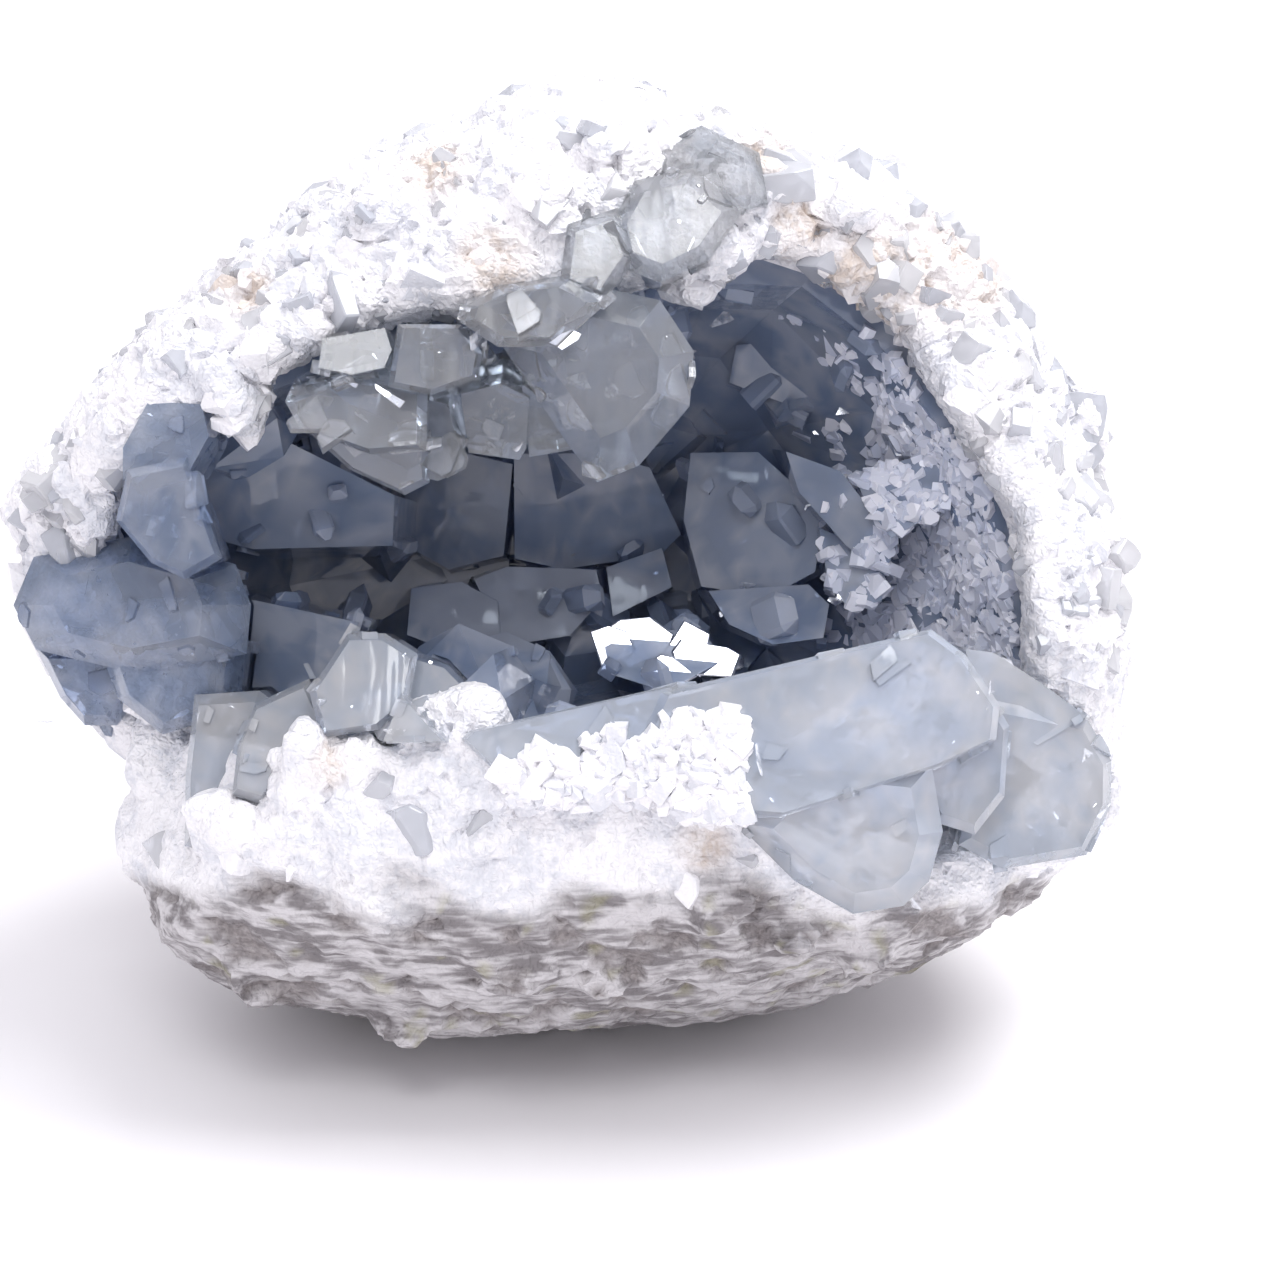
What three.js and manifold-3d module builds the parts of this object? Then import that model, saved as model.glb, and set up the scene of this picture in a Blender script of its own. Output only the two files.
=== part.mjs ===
// A celestite geode: one half of a broken hollow nodule, 141 mm wide, standing on a small
// flat spot. Its thick wall ends in a band of white broken crystal round the mouth. Pale blue
// crystals with flat faces line the hollow, hang from the upper rim, stand along the front
// lip and in the lower left corner, and swell out as a rounded mass at the left side.
//
// Lengths are millimetres. The forms are laid out in the mouth's own frame: +x to the right,
// +y up across the mouth and +z out of the hollow towards whoever looks in. At the end they
// are leaned back by the angle at which the nodule stands, so that +Z is up.

import * as THREE from "three";
import { ConvexGeometry } from "three/addons/geometries/ConvexGeometry.js";
import { ImprovedNoise } from "three/addons/math/ImprovedNoise.js";
import { mergeVertices } from "three/addons/utils/BufferGeometryUtils.js";
import Module from "manifold-3d";

const wasm = await Module();
wasm.setup();

// Driving dimensions
const leanBack = 22; // degrees by which the mouth faces up from level
const backDepth = 50; // from the widest ring back to the far end of the nodule
const floorPoint = new THREE.Vector3(-4, 4, -29); // the deepest point of the hollow
const hollowMiddle = new THREE.Vector3(0, 3, 20); // what the crystals on its wall point at
const liningThickness = 2.6; // the sheet of crystal from which the crust grows
const clearance = 0.3; // between the wall and each crystal group, and between groups
const flatSpotLift = 2.6; // how much of the underside the flat spot takes away
const belly = { at: new THREE.Vector3(14, -50, -30), rise: 3.6, reach: 26 }; // the lowest swelling
const swellings = { rise: 2.4, across: 21 }; // broad unevenness of the wall
const knobs = { rise: 2.2, across: 10 }; // the smaller unevenness on it
const lumpRadius = [5, 9]; // lumps of broken crystal on the band
const druseSize = [8, 15]; // small crystals on the steep walls
const druseSizeAtRight = [6, 10]; // and on the gentle slope at the right

// How finely the wall and the sheet of crystal are faceted
const spokes = 44;
const backRings = 7;
const bandRings = 5;
const hollowRings = 6;
const liningSpokes = 22;
const liningRings = 5;

// How many small pieces there are
const druseCount = 24;
const lumpCount = 43;

// The widest outline of the nodule, clockwise from the top
const widestOutline = [
  [3, 60.5], [25, 55], [46, 46.5], [57.5, 31], [66.5, 15.5], [69.5, 0], [69.5, -17], [66.5, -34],
  [55, -44], [43, -50], [20, -55.5], [-3, -57.5], [-16, -58.5], [-40, -53.5], [-51, -46],
  [-54, -36], [-53, -29], [-56, -21], [-64, -14], [-69, -3], [-65.5, 11.5], [-53, 28],
  [-36, 43.5], [-27, 50.5], [-11, 56],
];

// The inner edge of the broken band, clockwise from the top, with its height out of the hollow
const mouthEdge = [
  [5, 36, 35], [17, 39, 30], [27, 40, 27], [38, 34, 24], [47, 25, 24], [54, 14, 25], [58, 3, 26],
  [60, -9, 25], [60, -20, 20], [53, -31, 20], [41, -37, 24], [29, -33, 30], [24, -24, 35],
  [5, -21.5, 37], [-19, -21, 37], [-31, -22, 34], [-40, -28, 24], [-47, -26, 12],
  [-49, -17, 10], [-54, -8, 12], [-58, 1, 16], [-56, 8, 24], [-52, 15, 30], [-43, 21, 33],
  [-31, 27, 35], [-19, 31, 36], [-7, 34, 37],
];

const noise = new ImprovedNoise();

// Chance that is the same in every run
function chance(seed) {
  THREE.MathUtils.seededRandom(seed);
  return (low, high) => low + (high - low) * THREE.MathUtils.seededRandom();
}

function randomDirection(draw) {
  return new THREE.Vector3(draw(-1, 1), draw(-1, 1), draw(-1, 1)).normalize();
}

// A closed ring, read by the direction from the middle of the mouth
function ringByDirection(corners) {
  const points = corners.map(([x, y, z = 0]) => new THREE.Vector3(x, y, z));
  const curve = new THREE.CatmullRomCurve3(points, true, "centripetal");
  const samples = curve.getPoints(720).map((point) => ({ point, angle: Math.atan2(point.y, point.x) }));
  samples.sort((first, second) => first.angle - second.angle);
  return (angle) => {
    const turned = Math.atan2(Math.sin(angle), Math.cos(angle));
    const next = samples.findIndex((sample) => sample.angle > turned);
    return samples[Math.max(next, 0)].point.clone();
  };
}

const widest = ringByDirection(widestOutline);
const mouth = ringByDirection(mouthEdge);

// The back half of the nodule, from its far end (0) to the widest ring (1)
function backPoint(angle, share) {
  const turn = share * Math.PI / 2;
  const spread = Math.sin(turn) ** 0.85;
  return widest(angle).multiplyScalar(spread).setZ(-backDepth * Math.cos(turn) ** 0.9);
}

// The broken band, from the widest ring (0) over its swelling to the mouth edge (1)
function bandPoint(angle, share) {
  const turn = share * Math.PI / 2;
  const inner = mouth(angle);
  const height = inner.z * Math.sin(turn) ** 0.8;
  return inner.lerp(widest(angle), Math.cos(turn) ** 0.85).setZ(height);
}

// The wall of the hollow, from the mouth edge (0) to the deepest point (1). It slopes gently
// at the right and is steep everywhere else.
function hollowPoint(angle, share) {
  const turn = share * Math.PI / 2;
  const edge = mouth(angle);
  const gentle = (0.5 + 0.5 * Math.cos(angle - 0.1)) ** 3;
  const height = edge.z + (floorPoint.z - edge.z) * Math.sin(turn) ** 0.95;
  return floorPoint.clone().lerp(edge, Math.cos(turn) ** (0.42 + 0.55 * gentle)).setZ(height);
}

// Rings of points read from one of the three surfaces, set a little unevenly
function rings(surface, count, from, to, around = spokes) {
  const step = (to - from) / (count - 1);
  return [...Array(count).keys()].map((ring) => [...Array(around).keys()].map((spoke) => {
    const drift = noise.noise(ring * 2.7, spoke * 3.1, 0.5);
    const sideDrift = noise.noise(ring * 3.3 + 9, spoke * 2.3, 0.7);
    const free = ring > 0 && ring < count - 1 ? 0.55 : 0;
    return surface(((spoke + 0.6 * sideDrift) / around) * 2 * Math.PI, from + step * (ring + free * drift));
  }));
}

// A closed skin through rings of points between two end points
function closedSkin(rows, first, last) {
  const around = rows[0].length;
  const positions = [first, last, ...rows.flat()].flatMap((point) => point.toArray());
  const at = (row, spoke) => 2 + row * around + (spoke % around);
  const index = [];
  for (let spoke = 0; spoke < around; spoke++) {
    index.push(0, at(0, spoke + 1), at(0, spoke));
    index.push(1, at(rows.length - 1, spoke), at(rows.length - 1, spoke + 1));
    for (let row = 0; row < rows.length - 1; row++) {
      const corners = [at(row, spoke), at(row, spoke + 1), at(row + 1, spoke + 1), at(row + 1, spoke)];
      const turn = (row + spoke) % 2;
      index.push(corners[turn], corners[turn + 1], corners[turn + 2]);
      index.push(corners[turn], corners[turn + 2], corners[(turn + 3) % 4]);
    }
  }
  const geometry = new THREE.BufferGeometry();
  geometry.setAttribute("position", new THREE.Float32BufferAttribute(positions, 3));
  geometry.setIndex(index);
  return geometry;
}

// Every point of a skin moved out along its normal by what the given function says
function pushOut(geometry, amount) {
  geometry.computeVertexNormals();
  const place = geometry.getAttribute("position");
  const normal = geometry.getAttribute("normal");
  for (let i = 0; i < place.count; i++) {
    const point = new THREE.Vector3().fromBufferAttribute(place, i);
    point.addScaledVector(new THREE.Vector3().fromBufferAttribute(normal, i), amount(point));
    place.setXYZ(i, point.x, point.y, point.z);
  }
  return geometry;
}

function solidOf(geometry) {
  const bare = geometry.clone();
  bare.deleteAttribute("normal");
  bare.deleteAttribute("uv");
  const merged = mergeVertices(bare, 1e-4);
  return new wasm.Manifold(new wasm.Mesh({
    numProp: 3,
    vertProperties: Float32Array.from(merged.getAttribute("position").array),
    triVerts: Uint32Array.from(merged.index.array),
  }));
}

function geometryOf(solid) {
  const mesh = solid.getMesh();
  const geometry = new THREE.BufferGeometry();
  geometry.setAttribute("position", new THREE.BufferAttribute(mesh.vertProperties, 3));
  geometry.setIndex(new THREE.BufferAttribute(mesh.triVerts, 1));
  return geometry;
}

function joined(solids) {
  return solids.reduce((whole, solid) => whole.add(solid));
}

// The largest of the bodies that a cut leaves; the crumbs and closed pockets are dropped
function mainBody(solid) {
  const bodies = solid.decompose();
  bodies.sort((first, second) => second.volume() - first.volume());
  return bodies[0];
}

// Rock relief: broad swellings, knobs a centimetre across, and the belly it stands on
function relief(point) {
  const uneven = ({ rise, across }, offset) =>
    rise * noise.noise(point.x / across + offset, point.y / across, point.z / across);
  const lowest = belly.rise * Math.exp(-point.distanceToSquared(belly.at) / belly.reach ** 2);
  return uneven(swellings, 3) + uneven(knobs, 5) + lowest;
}

// The wall of the nodule with its relief, made larger all over by grow
function wallSolid(grow) {
  const back = rings(backPoint, backRings, 1 / backRings, 1);
  const band = rings(bandPoint, bandRings, 1 / bandRings, 1);
  const hollow = rings(hollowPoint, hollowRings, 1 / hollowRings, 1 - 0.35 / hollowRings);
  const skin = closedSkin([...back, ...band, ...hollow], backPoint(0, 0), floorPoint);
  return solidOf(pushOut(skin, (point) => relief(point) + grow));
}

// White lumps of broken crystal fused to the band, sunk in it by half their size
function bandLumps(grow) {
  const draw = chance(7);
  const core = new THREE.Vector3(0, 0, -12);
  const lumps = [...Array(lumpCount).keys()].map(() => {
    const middle = bandPoint(draw(-Math.PI, Math.PI), draw(0.12, 0.97));
    const radius = draw(...lumpRadius);
    middle.addScaledVector(middle.clone().sub(core).normalize(), -0.5 * radius);
    const corners = [...Array(10).keys()].map(() =>
      middle.clone().addScaledVector(randomDirection(draw), radius * draw(0.85, 1.1) + grow));
    return solidOf(new ConvexGeometry(corners));
  });
  return joined(lumps);
}

// The sheet of crystal on the wall of the hollow, open at the mouth. It starts inside the
// wall, whose space is cut from it later.
function liningSolid() {
  const sheet = (inward) => rings(hollowPoint, liningRings, 0.12, 0.97, liningSpokes).map((ring) =>
    ring.map((point) => point.addScaledVector(hollowMiddle.clone().sub(point).normalize(), inward)));
  const above = (point, height) => point.clone().setZ(point.z + height);
  const outer = closedSkin(sheet(-3).reverse(), above(floorPoint, -3), above(hollowMiddle, 2));
  const inside = sheet(liningThickness);
  const raised = inside[0].map((point) => above(point, 20));
  const cavity = closedSkin([raised, ...inside].reverse(), above(floorPoint, liningThickness),
    above(hollowMiddle, 40));
  return solidOf(outer).subtract(solidOf(cavity));
}

// One flat-faced crystal. Its outline is drawn as seen from in front of the mouth; front is
// the height of its face, lean says how much the face rises along x and y, and it goes deep
// into the wall, where it is flare times as wide and shifted by back. The face is inset, with
// a bevel round it.
function blockCrystal(form, grow = 0) {
  const { outline, front, lean = [0, 0], deep, flare = 1, inset = 0.86, bevel = 1.6, back = [0, 0] } = form;
  const middle = new THREE.Vector2();
  outline.forEach(([x, y]) => middle.add(new THREE.Vector2(x, y)));
  middle.divideScalar(outline.length);
  const ring = (size, drop, shift) => outline.map(([x, y]) => {
    const off = new THREE.Vector2(x - middle.x, y - middle.y).multiplyScalar(size);
    const rise = lean[0] * off.x + lean[1] * off.y;
    off.setLength(off.length() + 1.3 * grow);
    return new THREE.Vector3(middle.x + off.x + shift[0], middle.y + off.y + shift[1], front + rise - drop);
  });
  const corners = [...ring(inset, -grow, [0, 0]), ...ring(flare, deep + grow, back)];
  if (bevel) corners.push(...ring(1, bevel - grow, [0, 0]));
  return solidOf(new ConvexGeometry(corners));
}

const hangingForms = [
  // the great rounded tooth over the hollow, and the lobe beside it
  { outline: [[-7, 27], [1, 15], [4.5, 10.5], [9.5, 12.5], [15.5, 19.5], [16, 26], [12, 32], [3, 34], [-4, 31]],
    front: 41, lean: [0, 0.1], deep: 19, flare: 0.8, inset: 0.6, bevel: 4.5, back: [0, 3] },
  { outline: [[-11.5, 29], [-11, 31], [-7, 33], [1.5, 34], [6, 31.5], [0, 26], [-7, 26]],
    front: 44, lean: [0.05, -0.3], deep: 14, inset: 0.75, back: [0, 3] },
  // blades left of the tooth
  { outline: [[-32.5, 20], [-25.5, 23], [-15.5, 21], [-15.5, 14], [-22, 13.5], [-30.5, 16.5]],
    front: 41, lean: [0.1, -0.5], deep: 16, back: [0, 4] },
  { outline: [[-31, 17.5], [-22.5, 15.5], [-15.5, 15], [-15.5, 10.5], [-18.5, 9], [-25, 12]],
    front: 37, lean: [0, 0.3], deep: 14, back: [0, 5] },
  { outline: [[-28.5, 27.5], [-20, 29], [-19, 26], [-20, 23.5], [-24.5, 22.5], [-29, 23.5]],
    front: 41, lean: [0, -0.2], deep: 14, bevel: 0 },
  { outline: [[-19, 29], [-11.5, 29], [-9, 25.5], [-9.5, 22.5], [-15, 20.5], [-20, 21.5]],
    front: 42, lean: [-0.1, -0.3], deep: 16 },
  { outline: [[-17, 21.5], [-13, 20.5], [-11.5, 13.5], [-12, 11], [-14.5, 10], [-16.5, 10.5]],
    front: 36, lean: [0.3, 0], deep: 13, bevel: 0, back: [0, 4] },
  { outline: [[-12.5, 21.5], [-7, 23], [-3, 21], [-3.5, 14], [-4.5, 12.5], [-11.5, 13.5]],
    front: 35, lean: [0, 0.2], deep: 13, bevel: 0, back: [0, 4] },
  { outline: [[-5, 23], [1, 19], [2, 14], [-4, 13]],
    front: 34, lean: [0, 0.2], deep: 12, bevel: 0, back: [0, 4] },
  // rounded crystals on the band above the tooth
  { outline: [[6, 41], [9, 46.5], [16, 48], [22, 43], [18, 37], [12, 34], [7, 36]],
    front: 39, lean: [0, -0.25], deep: 15, inset: 0.7, bevel: 2.5 },
  { outline: [[10, 50], [17, 54], [24, 50.5], [25, 44], [18, 42], [11, 45]],
    front: 33, lean: [0, -0.4], deep: 14, inset: 0.7, bevel: 2.5 },
  { outline: [[1, 41], [7, 43], [9, 37], [5, 31], [0, 33]],
    front: 41, lean: [0, -0.2], deep: 14, inset: 0.7, bevel: 2.5 },
];

const lipForms = [
  // the great tablet along the front lip, in two growths
  { outline: [[8, -23], [12, -14.5], [44, -7], [48, -10], [52, -16], [51.5, -20], [45, -23], [36, -26],
      [26, -29], [14, -28]],
    front: 42, lean: [0.02, -0.16], deep: 14, inset: 0.95, bevel: 1.2, back: [0, -2] },
  { outline: [[-11.5, -20], [-10.5, -19], [14, -13.5], [16, -26], [-4, -27]],
    front: 40.5, lean: [0.02, -0.16], deep: 13, inset: 0.95, bevel: 1.2, back: [0, -2] },
  // the smooth clear mass under its right end
  { outline: [[21, -30], [25, -26], [35, -22], [44, -23], [45.5, -31], [44, -37], [41, -40], [35, -41],
      [28, -37]],
    front: 40, lean: [0.05, 0.28], deep: 18, inset: 0.7, bevel: 3, back: [0, 4] },
  // clear crystals crowded at the right of the lip
  { outline: [[44.5, -14], [50.5, -13.5], [53.5, -18.5], [53, -27], [49.5, -31.5], [45, -30], [42, -24],
      [43, -18]],
    front: 38, lean: [-0.1, 0.1], deep: 16 },
  { outline: [[52, -15.5], [64, -18], [67, -23], [67, -28.5], [64, -34.5], [53.5, -36], [48, -33], [50, -23]],
    front: 29, lean: [-0.3, 0.1], deep: 18 },
  { outline: [[48, -8.5], [52, -9], [59, -13.5], [65, -18], [58, -22], [52, -19], [49, -14]],
    front: 29, lean: [-0.1, -0.2], deep: 16, bevel: 0 },
];

const leftForms = [
  // the great rounded mass that makes the left outline
  { outline: [[-65.5, 2], [-53, 4.5], [-40, 1], [-38, -4], [-38.5, -10], [-52, -12.5], [-65, -9.5], [-68, -4]],
    front: 25, lean: [0.18, -0.12], deep: 26, flare: 0.85, inset: 0.62, bevel: 5 },
  { outline: [[-66, -9], [-56, -9], [-53, -15], [-56, -19], [-60, -19], [-63, -15.5]],
    front: 15, lean: [0, 0.2], deep: 18, inset: 0.7, bevel: 3 },
  { outline: [[-57, -9.5], [-47, -7.5], [-39, -9], [-40, -17], [-45, -17], [-49.5, -20], [-55, -15.5]],
    front: 21, lean: [0, 0.15], deep: 18, inset: 0.75, bevel: 3 },
  // two clear pointed crystals hanging above it
  { outline: [[-49.5, 21], [-42, 20.5], [-41, 16], [-43.5, 11.5], [-53, 10], [-53, 14.5], [-50, 18]],
    front: 34, lean: [0.1, -0.1], deep: 15, bevel: 0 },
  { outline: [[-51.5, 12], [-44.5, 13.5], [-41.5, 3.5], [-40.5, 1.5], [-45, -1], [-49, 1], [-53, 6]],
    front: 35, lean: [-0.1, 0.2], deep: 18, flare: 0.9 },
];

const cornerForms = [
  // pale tablets in the lower left corner of the mouth
  { outline: [[-45, -15], [-37, -14.5], [-31, -19], [-36, -28], [-40, -34.5], [-46, -33.5], [-46, -25]],
    front: 25, lean: [0.1, -0.1], deep: 18 },
  { outline: [[-52.5, -24.5], [-44, -23.5], [-44, -35], [-51.5, -35], [-53, -30]],
    front: 15, lean: [0.15, 0], deep: 14, bevel: 0 },
  { outline: [[-30.5, -13], [-28, -18], [-31, -22], [-36, -28], [-39.5, -27], [-39, -21], [-37, -16]],
    front: 31, lean: [0.15, -0.3], deep: 18 },
  // pointed pale crystals beside the left end of the great tablet
  { outline: [[-30, -14.5], [-25.5, -7.5], [-21, -7.5], [-17, -10], [-18, -16], [-21.5, -19], [-28.5, -20]],
    front: 35, lean: [0.1, -0.3], deep: 16 },
  { outline: [[-19, -9.5], [-14, -11], [-10.5, -15.5], [-6.5, -18.5], [-11, -22], [-15, -20], [-19, -15]],
    front: 33, lean: [0.1, -0.4], deep: 15, bevel: 0 },
  { outline: [[-19, -13.5], [-12, -21], [-22, -21]],
    front: 39.5, lean: [0, -0.2], deep: 9, inset: 0.7, bevel: 0 },
];

const crustForms = [
  // broad tablet at the upper left, seen under the hanging blades
  { outline: [[-47, 18], [-34, 17], [-29, 13], [-20, 10], [-20.5, 3], [-40, 2.5], [-46, 4]],
    front: 9, lean: [-0.1, 0.5], deep: 26, inset: 0.9, bevel: 0 },
  // the back wall
  { outline: [[-23, 11], [-14.5, 18], [-6, 16], [-7.5, 2], [-16, 0], [-22.5, 3.5]],
    front: -18, lean: [0.1, 0.2], deep: 16, bevel: 0 },
  { outline: [[-8, 17], [4, 17], [11.5, 15], [16, 5.5], [13, 2.5], [-1, 0.5], [-8, 2]],
    front: -17, lean: [0, 0.25], deep: 16, inset: 0.92, bevel: 0 },
  // the large smooth dark face right of it
  { outline: [[15.5, 17], [25, 17], [31, 11.5], [34, 6.5], [33, 0], [26.5, -3.5], [17, -2], [14.5, 7.5]],
    front: -8, lean: [0.25, 0], deep: 20, inset: 0.92, bevel: 0 },
  { outline: [[17, -1.5], [32, -0.5], [35, -3.5], [34, -8.5], [26.5, -9.5], [20, -6.5]],
    front: -1, lean: [0, -0.6], deep: 18, bevel: 0 },
  // the ledge of grey crystals across the middle
  { outline: [[-21, -1], [-13.5, 0], [-8, -3], [-7.5, -9], [-15, -10.5], [-21.5, -8]],
    front: -5, lean: [0, -0.4], deep: 20, bevel: 0 },
  { outline: [[-13.5, 0], [-8.5, 2], [5, 1.5], [6, -3], [1, -8.5], [-8.5, -10]],
    front: -8, lean: [0.05, -0.3], deep: 18, bevel: 0 },
  { outline: [[4.5, 1.5], [13, 4.5], [14.5, -1.5], [5.5, -6]],
    front: -12, lean: [0, -0.3], deep: 16, bevel: 0 },
  // the dark crystal below the gap at the left
  { outline: [[-41, -2], [-34, -3.5], [-24.5, -5.5], [-26, -9], [-31, -14.5], [-37, -17.5], [-41, -16.5]],
    front: 9, lean: [0.2, -0.1], deep: 24, bevel: 0 },
  // the mirror-bright face on the floor of the hollow
  { outline: [[4, -9], [8.5, -6.5], [18.5, -6.5], [21.5, -11], [13, -15.5], [5, -13]],
    front: 6, lean: [0, -0.9], deep: 22, bevel: 0 },
  // long crystals pointing in from the right
  { outline: [[27, 17], [35, 14], [38, 10], [43.5, 3], [41.5, -1], [36, 3], [29, 11]],
    front: 3, lean: [0.3, 0.2], deep: 18, bevel: 0 },
  { outline: [[32, 7], [36.5, 5], [41.5, 1], [41, -4], [36, -5], [33, 0]],
    front: 1, lean: [0.3, -0.2], deep: 18, bevel: 0 },
  { outline: [[36, 12.5], [42.5, 15], [50, 17], [51.5, 12], [46, 6.5], [41, 3.5], [37.5, 8.5]],
    front: 7, lean: [0.4, -0.2], deep: 16, bevel: 0 },
  // smaller dark crystals under the upper rim at the right
  { outline: [[23, 36], [29.5, 39], [36, 35.5], [31, 29.5], [23.5, 29.5]],
    front: -4, lean: [0.2, 0.7], deep: 22, bevel: 0 },
  { outline: [[21, 30.5], [30.5, 31.5], [39, 30], [34, 23.5], [29, 21.5], [20, 25]],
    front: -6, lean: [0.3, 0.3], deep: 22, bevel: 0 },
];

// A small crystal of the druse: a flattened prism with a chisel end, standing on the wall
function druseCrystal(foot, out, size, draw) {
  const side = randomDirection(draw).cross(out).normalize();
  const across = out.clone().cross(side);
  const wide = size * draw(0.4, 0.55);
  const thin = wide * draw(0.5, 0.9);
  const tall = size * draw(0.45, 0.85);
  const at = (alongSide, alongAcross, up) => foot.clone().addScaledVector(side, alongSide * wide)
    .addScaledVector(across, alongAcross * thin).addScaledVector(out, up);
  const corners = [at(-0.5, 0, tall + size * draw(0.2, 0.4)), at(0.5, 0, tall + size * draw(0.2, 0.4))];
  for (const up of [-size * 0.6, tall]) {
    corners.push(at(1, 0.8, up), at(1, -0.8, up), at(-1, 0.8, up), at(-1, -0.8, up));
  }
  return solidOf(new ConvexGeometry(corners));
}

function druse() {
  const draw = chance(41);
  return [...Array(druseCount).keys()].map(() => {
    const angle = draw(-Math.PI, Math.PI);
    const atRight = Math.cos(angle) > 0.35;
    const share = draw(0.16, atRight ? 0.8 : 0.95);
    const foot = hollowPoint(angle, share);
    const down = hollowPoint(angle, share + 0.03).sub(hollowPoint(angle, share - 0.03));
    const around = hollowPoint(angle + 0.05, share).sub(hollowPoint(angle - 0.05, share));
    const out = down.cross(around).normalize();
    if (out.dot(hollowMiddle.clone().sub(foot)) < 0) out.negate();
    out.add(new THREE.Vector3(draw(-0.45, 0.45), draw(-0.45, 0.45), draw(-0.1, 0.5))).normalize();
    return druseCrystal(foot, out, draw(...(atRight ? druseSizeAtRight : druseSize)), draw);
  });
}

// A solid's surface as it stands, leaned back from the mouth's own frame
const standTurn = THREE.MathUtils.degToRad(90 - leanBack);
const stood = (solid) => geometryOf(solid).rotateX(standTurn);

function boxOf(geometry) {
  geometry.computeBoundingBox();
  return geometry.boundingBox;
}

// The wall with its lumps, and the flat spot taken off its underside by the ground
const roundWall = mainBody(wallSolid(0).add(bandLumps(0)));
const underside = boxOf(stood(roundWall)).min.z + flatSpotLift;
const groundSide = 200;
const ground = new THREE.BoxGeometry(groundSide, groundSide, groundSide);
ground.translate(0, 0, underside - groundSide / 2).rotateX(-standTurn);
const wall = mainBody(roundWall.subtract(solidOf(ground)));

// The space that each group of crystals has to leave its neighbours
const wallSpace = mainBody(wallSolid(clearance).add(bandLumps(clearance))).add(roundWall);
const blocks = (forms, grow = 0) => forms.map((form) => blockCrystal(form, grow));
const spaceFor = (forms) => joined(blocks(forms, clearance));
const hangingSpace = spaceFor(hangingForms);
const leftSpace = spaceFor(leftForms);
const cornerSpace = spaceFor(cornerForms);
const lipSpace = spaceFor(lipForms);

// Crystals grown together, less what their neighbours take
function grownTogether(solids, neighbours) {
  return mainBody(neighbours.reduce((rest, space) => rest.subtract(space), joined(solids)));
}

const pieces = {
  geode_shell: wall,
  crystal_crust: grownTogether([liningSolid(), ...blocks(crustForms), ...druse()],
    [wallSpace, hangingSpace, leftSpace, cornerSpace, lipSpace]),
  hanging_crystals: grownTogether(blocks(hangingForms), [wallSpace]),
  left_crystals: grownTogether(blocks(leftForms), [wallSpace, hangingSpace]),
  corner_crystals: grownTogether(blocks(cornerForms), [wallSpace, leftSpace]),
  lip_crystals: grownTogether(blocks(lipForms), [wallSpace, cornerSpace]),
};

const paleRock = { color: 0xd9d6d6, roughness: 0.85, metalness: 0 };
const paleBlueCrystal = { color: 0x93a9c4, roughness: 0.12, metalness: 0 };

// The origin is the middle of the whole nodule's box, on the ground
const model = new THREE.Group();
const whole = new THREE.Box3();
for (const [name, solid] of Object.entries(pieces)) {
  const geometry = stood(solid);
  whole.union(boxOf(geometry));
  const look = name === "geode_shell" ? paleRock : paleBlueCrystal;
  const mesh = new THREE.Mesh(geometry, new THREE.MeshStandardMaterial(look));
  mesh.name = name;
  model.add(mesh);
}
const middle = whole.getCenter(new THREE.Vector3());
for (const mesh of model.children) mesh.geometry.translate(-middle.x, -middle.y, -underside);

export default model;
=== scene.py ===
# %% [markdown]
# # A celestite geode
# A nodule of rock has broken open. Its thick wall is white, sugary crystal at the break and a
# foliated grey-beige skin outside, and clear, pale blue crystals of celestite line the hollow.
# The CAD frame holds every large form at its real size. This lesson gives them their looks:
# fine relief on the rock, clear crystal with veils inside, and the many small crystals between.

import math
import time
from contextlib import contextmanager

import bmesh
import bpy
import numpy as np
from mathutils import Matrix, Vector, noise
from mathutils.bvhtree import BVHTree
from mathutils.kdtree import KDTree


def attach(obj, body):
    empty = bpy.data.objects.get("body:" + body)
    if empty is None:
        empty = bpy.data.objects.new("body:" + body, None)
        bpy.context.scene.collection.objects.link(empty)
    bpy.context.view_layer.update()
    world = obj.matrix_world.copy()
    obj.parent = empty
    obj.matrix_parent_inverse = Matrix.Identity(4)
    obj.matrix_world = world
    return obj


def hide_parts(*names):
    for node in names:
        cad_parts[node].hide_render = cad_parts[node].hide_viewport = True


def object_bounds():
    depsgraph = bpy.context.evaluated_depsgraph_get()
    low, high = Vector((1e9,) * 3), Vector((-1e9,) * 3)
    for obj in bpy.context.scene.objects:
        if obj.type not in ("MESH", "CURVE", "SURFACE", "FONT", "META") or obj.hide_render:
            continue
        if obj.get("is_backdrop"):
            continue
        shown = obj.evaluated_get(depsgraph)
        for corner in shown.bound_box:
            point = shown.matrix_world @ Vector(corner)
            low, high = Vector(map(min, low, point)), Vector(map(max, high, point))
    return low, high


started = time.time()
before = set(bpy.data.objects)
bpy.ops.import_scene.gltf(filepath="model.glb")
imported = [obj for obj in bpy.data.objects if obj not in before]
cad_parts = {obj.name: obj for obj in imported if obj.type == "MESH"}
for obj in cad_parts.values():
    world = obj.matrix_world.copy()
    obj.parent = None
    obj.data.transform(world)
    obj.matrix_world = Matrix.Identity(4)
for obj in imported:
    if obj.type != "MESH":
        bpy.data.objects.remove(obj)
cad_low, cad_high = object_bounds()
MM = 0.001
print("the CAD box is", [round(side / MM) for side in cad_high - cad_low], "mm")

# %% [markdown]
# ## The mouth's own frame
# The nodule was drawn as one looks into its mouth: x to the right, y up across the mouth, z out
# of the hollow. It stands leaned back by 22 degrees. One matrix turns places drawn in the
# mouth's frame, in millimetres, into the metres of the standing nodule.

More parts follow.
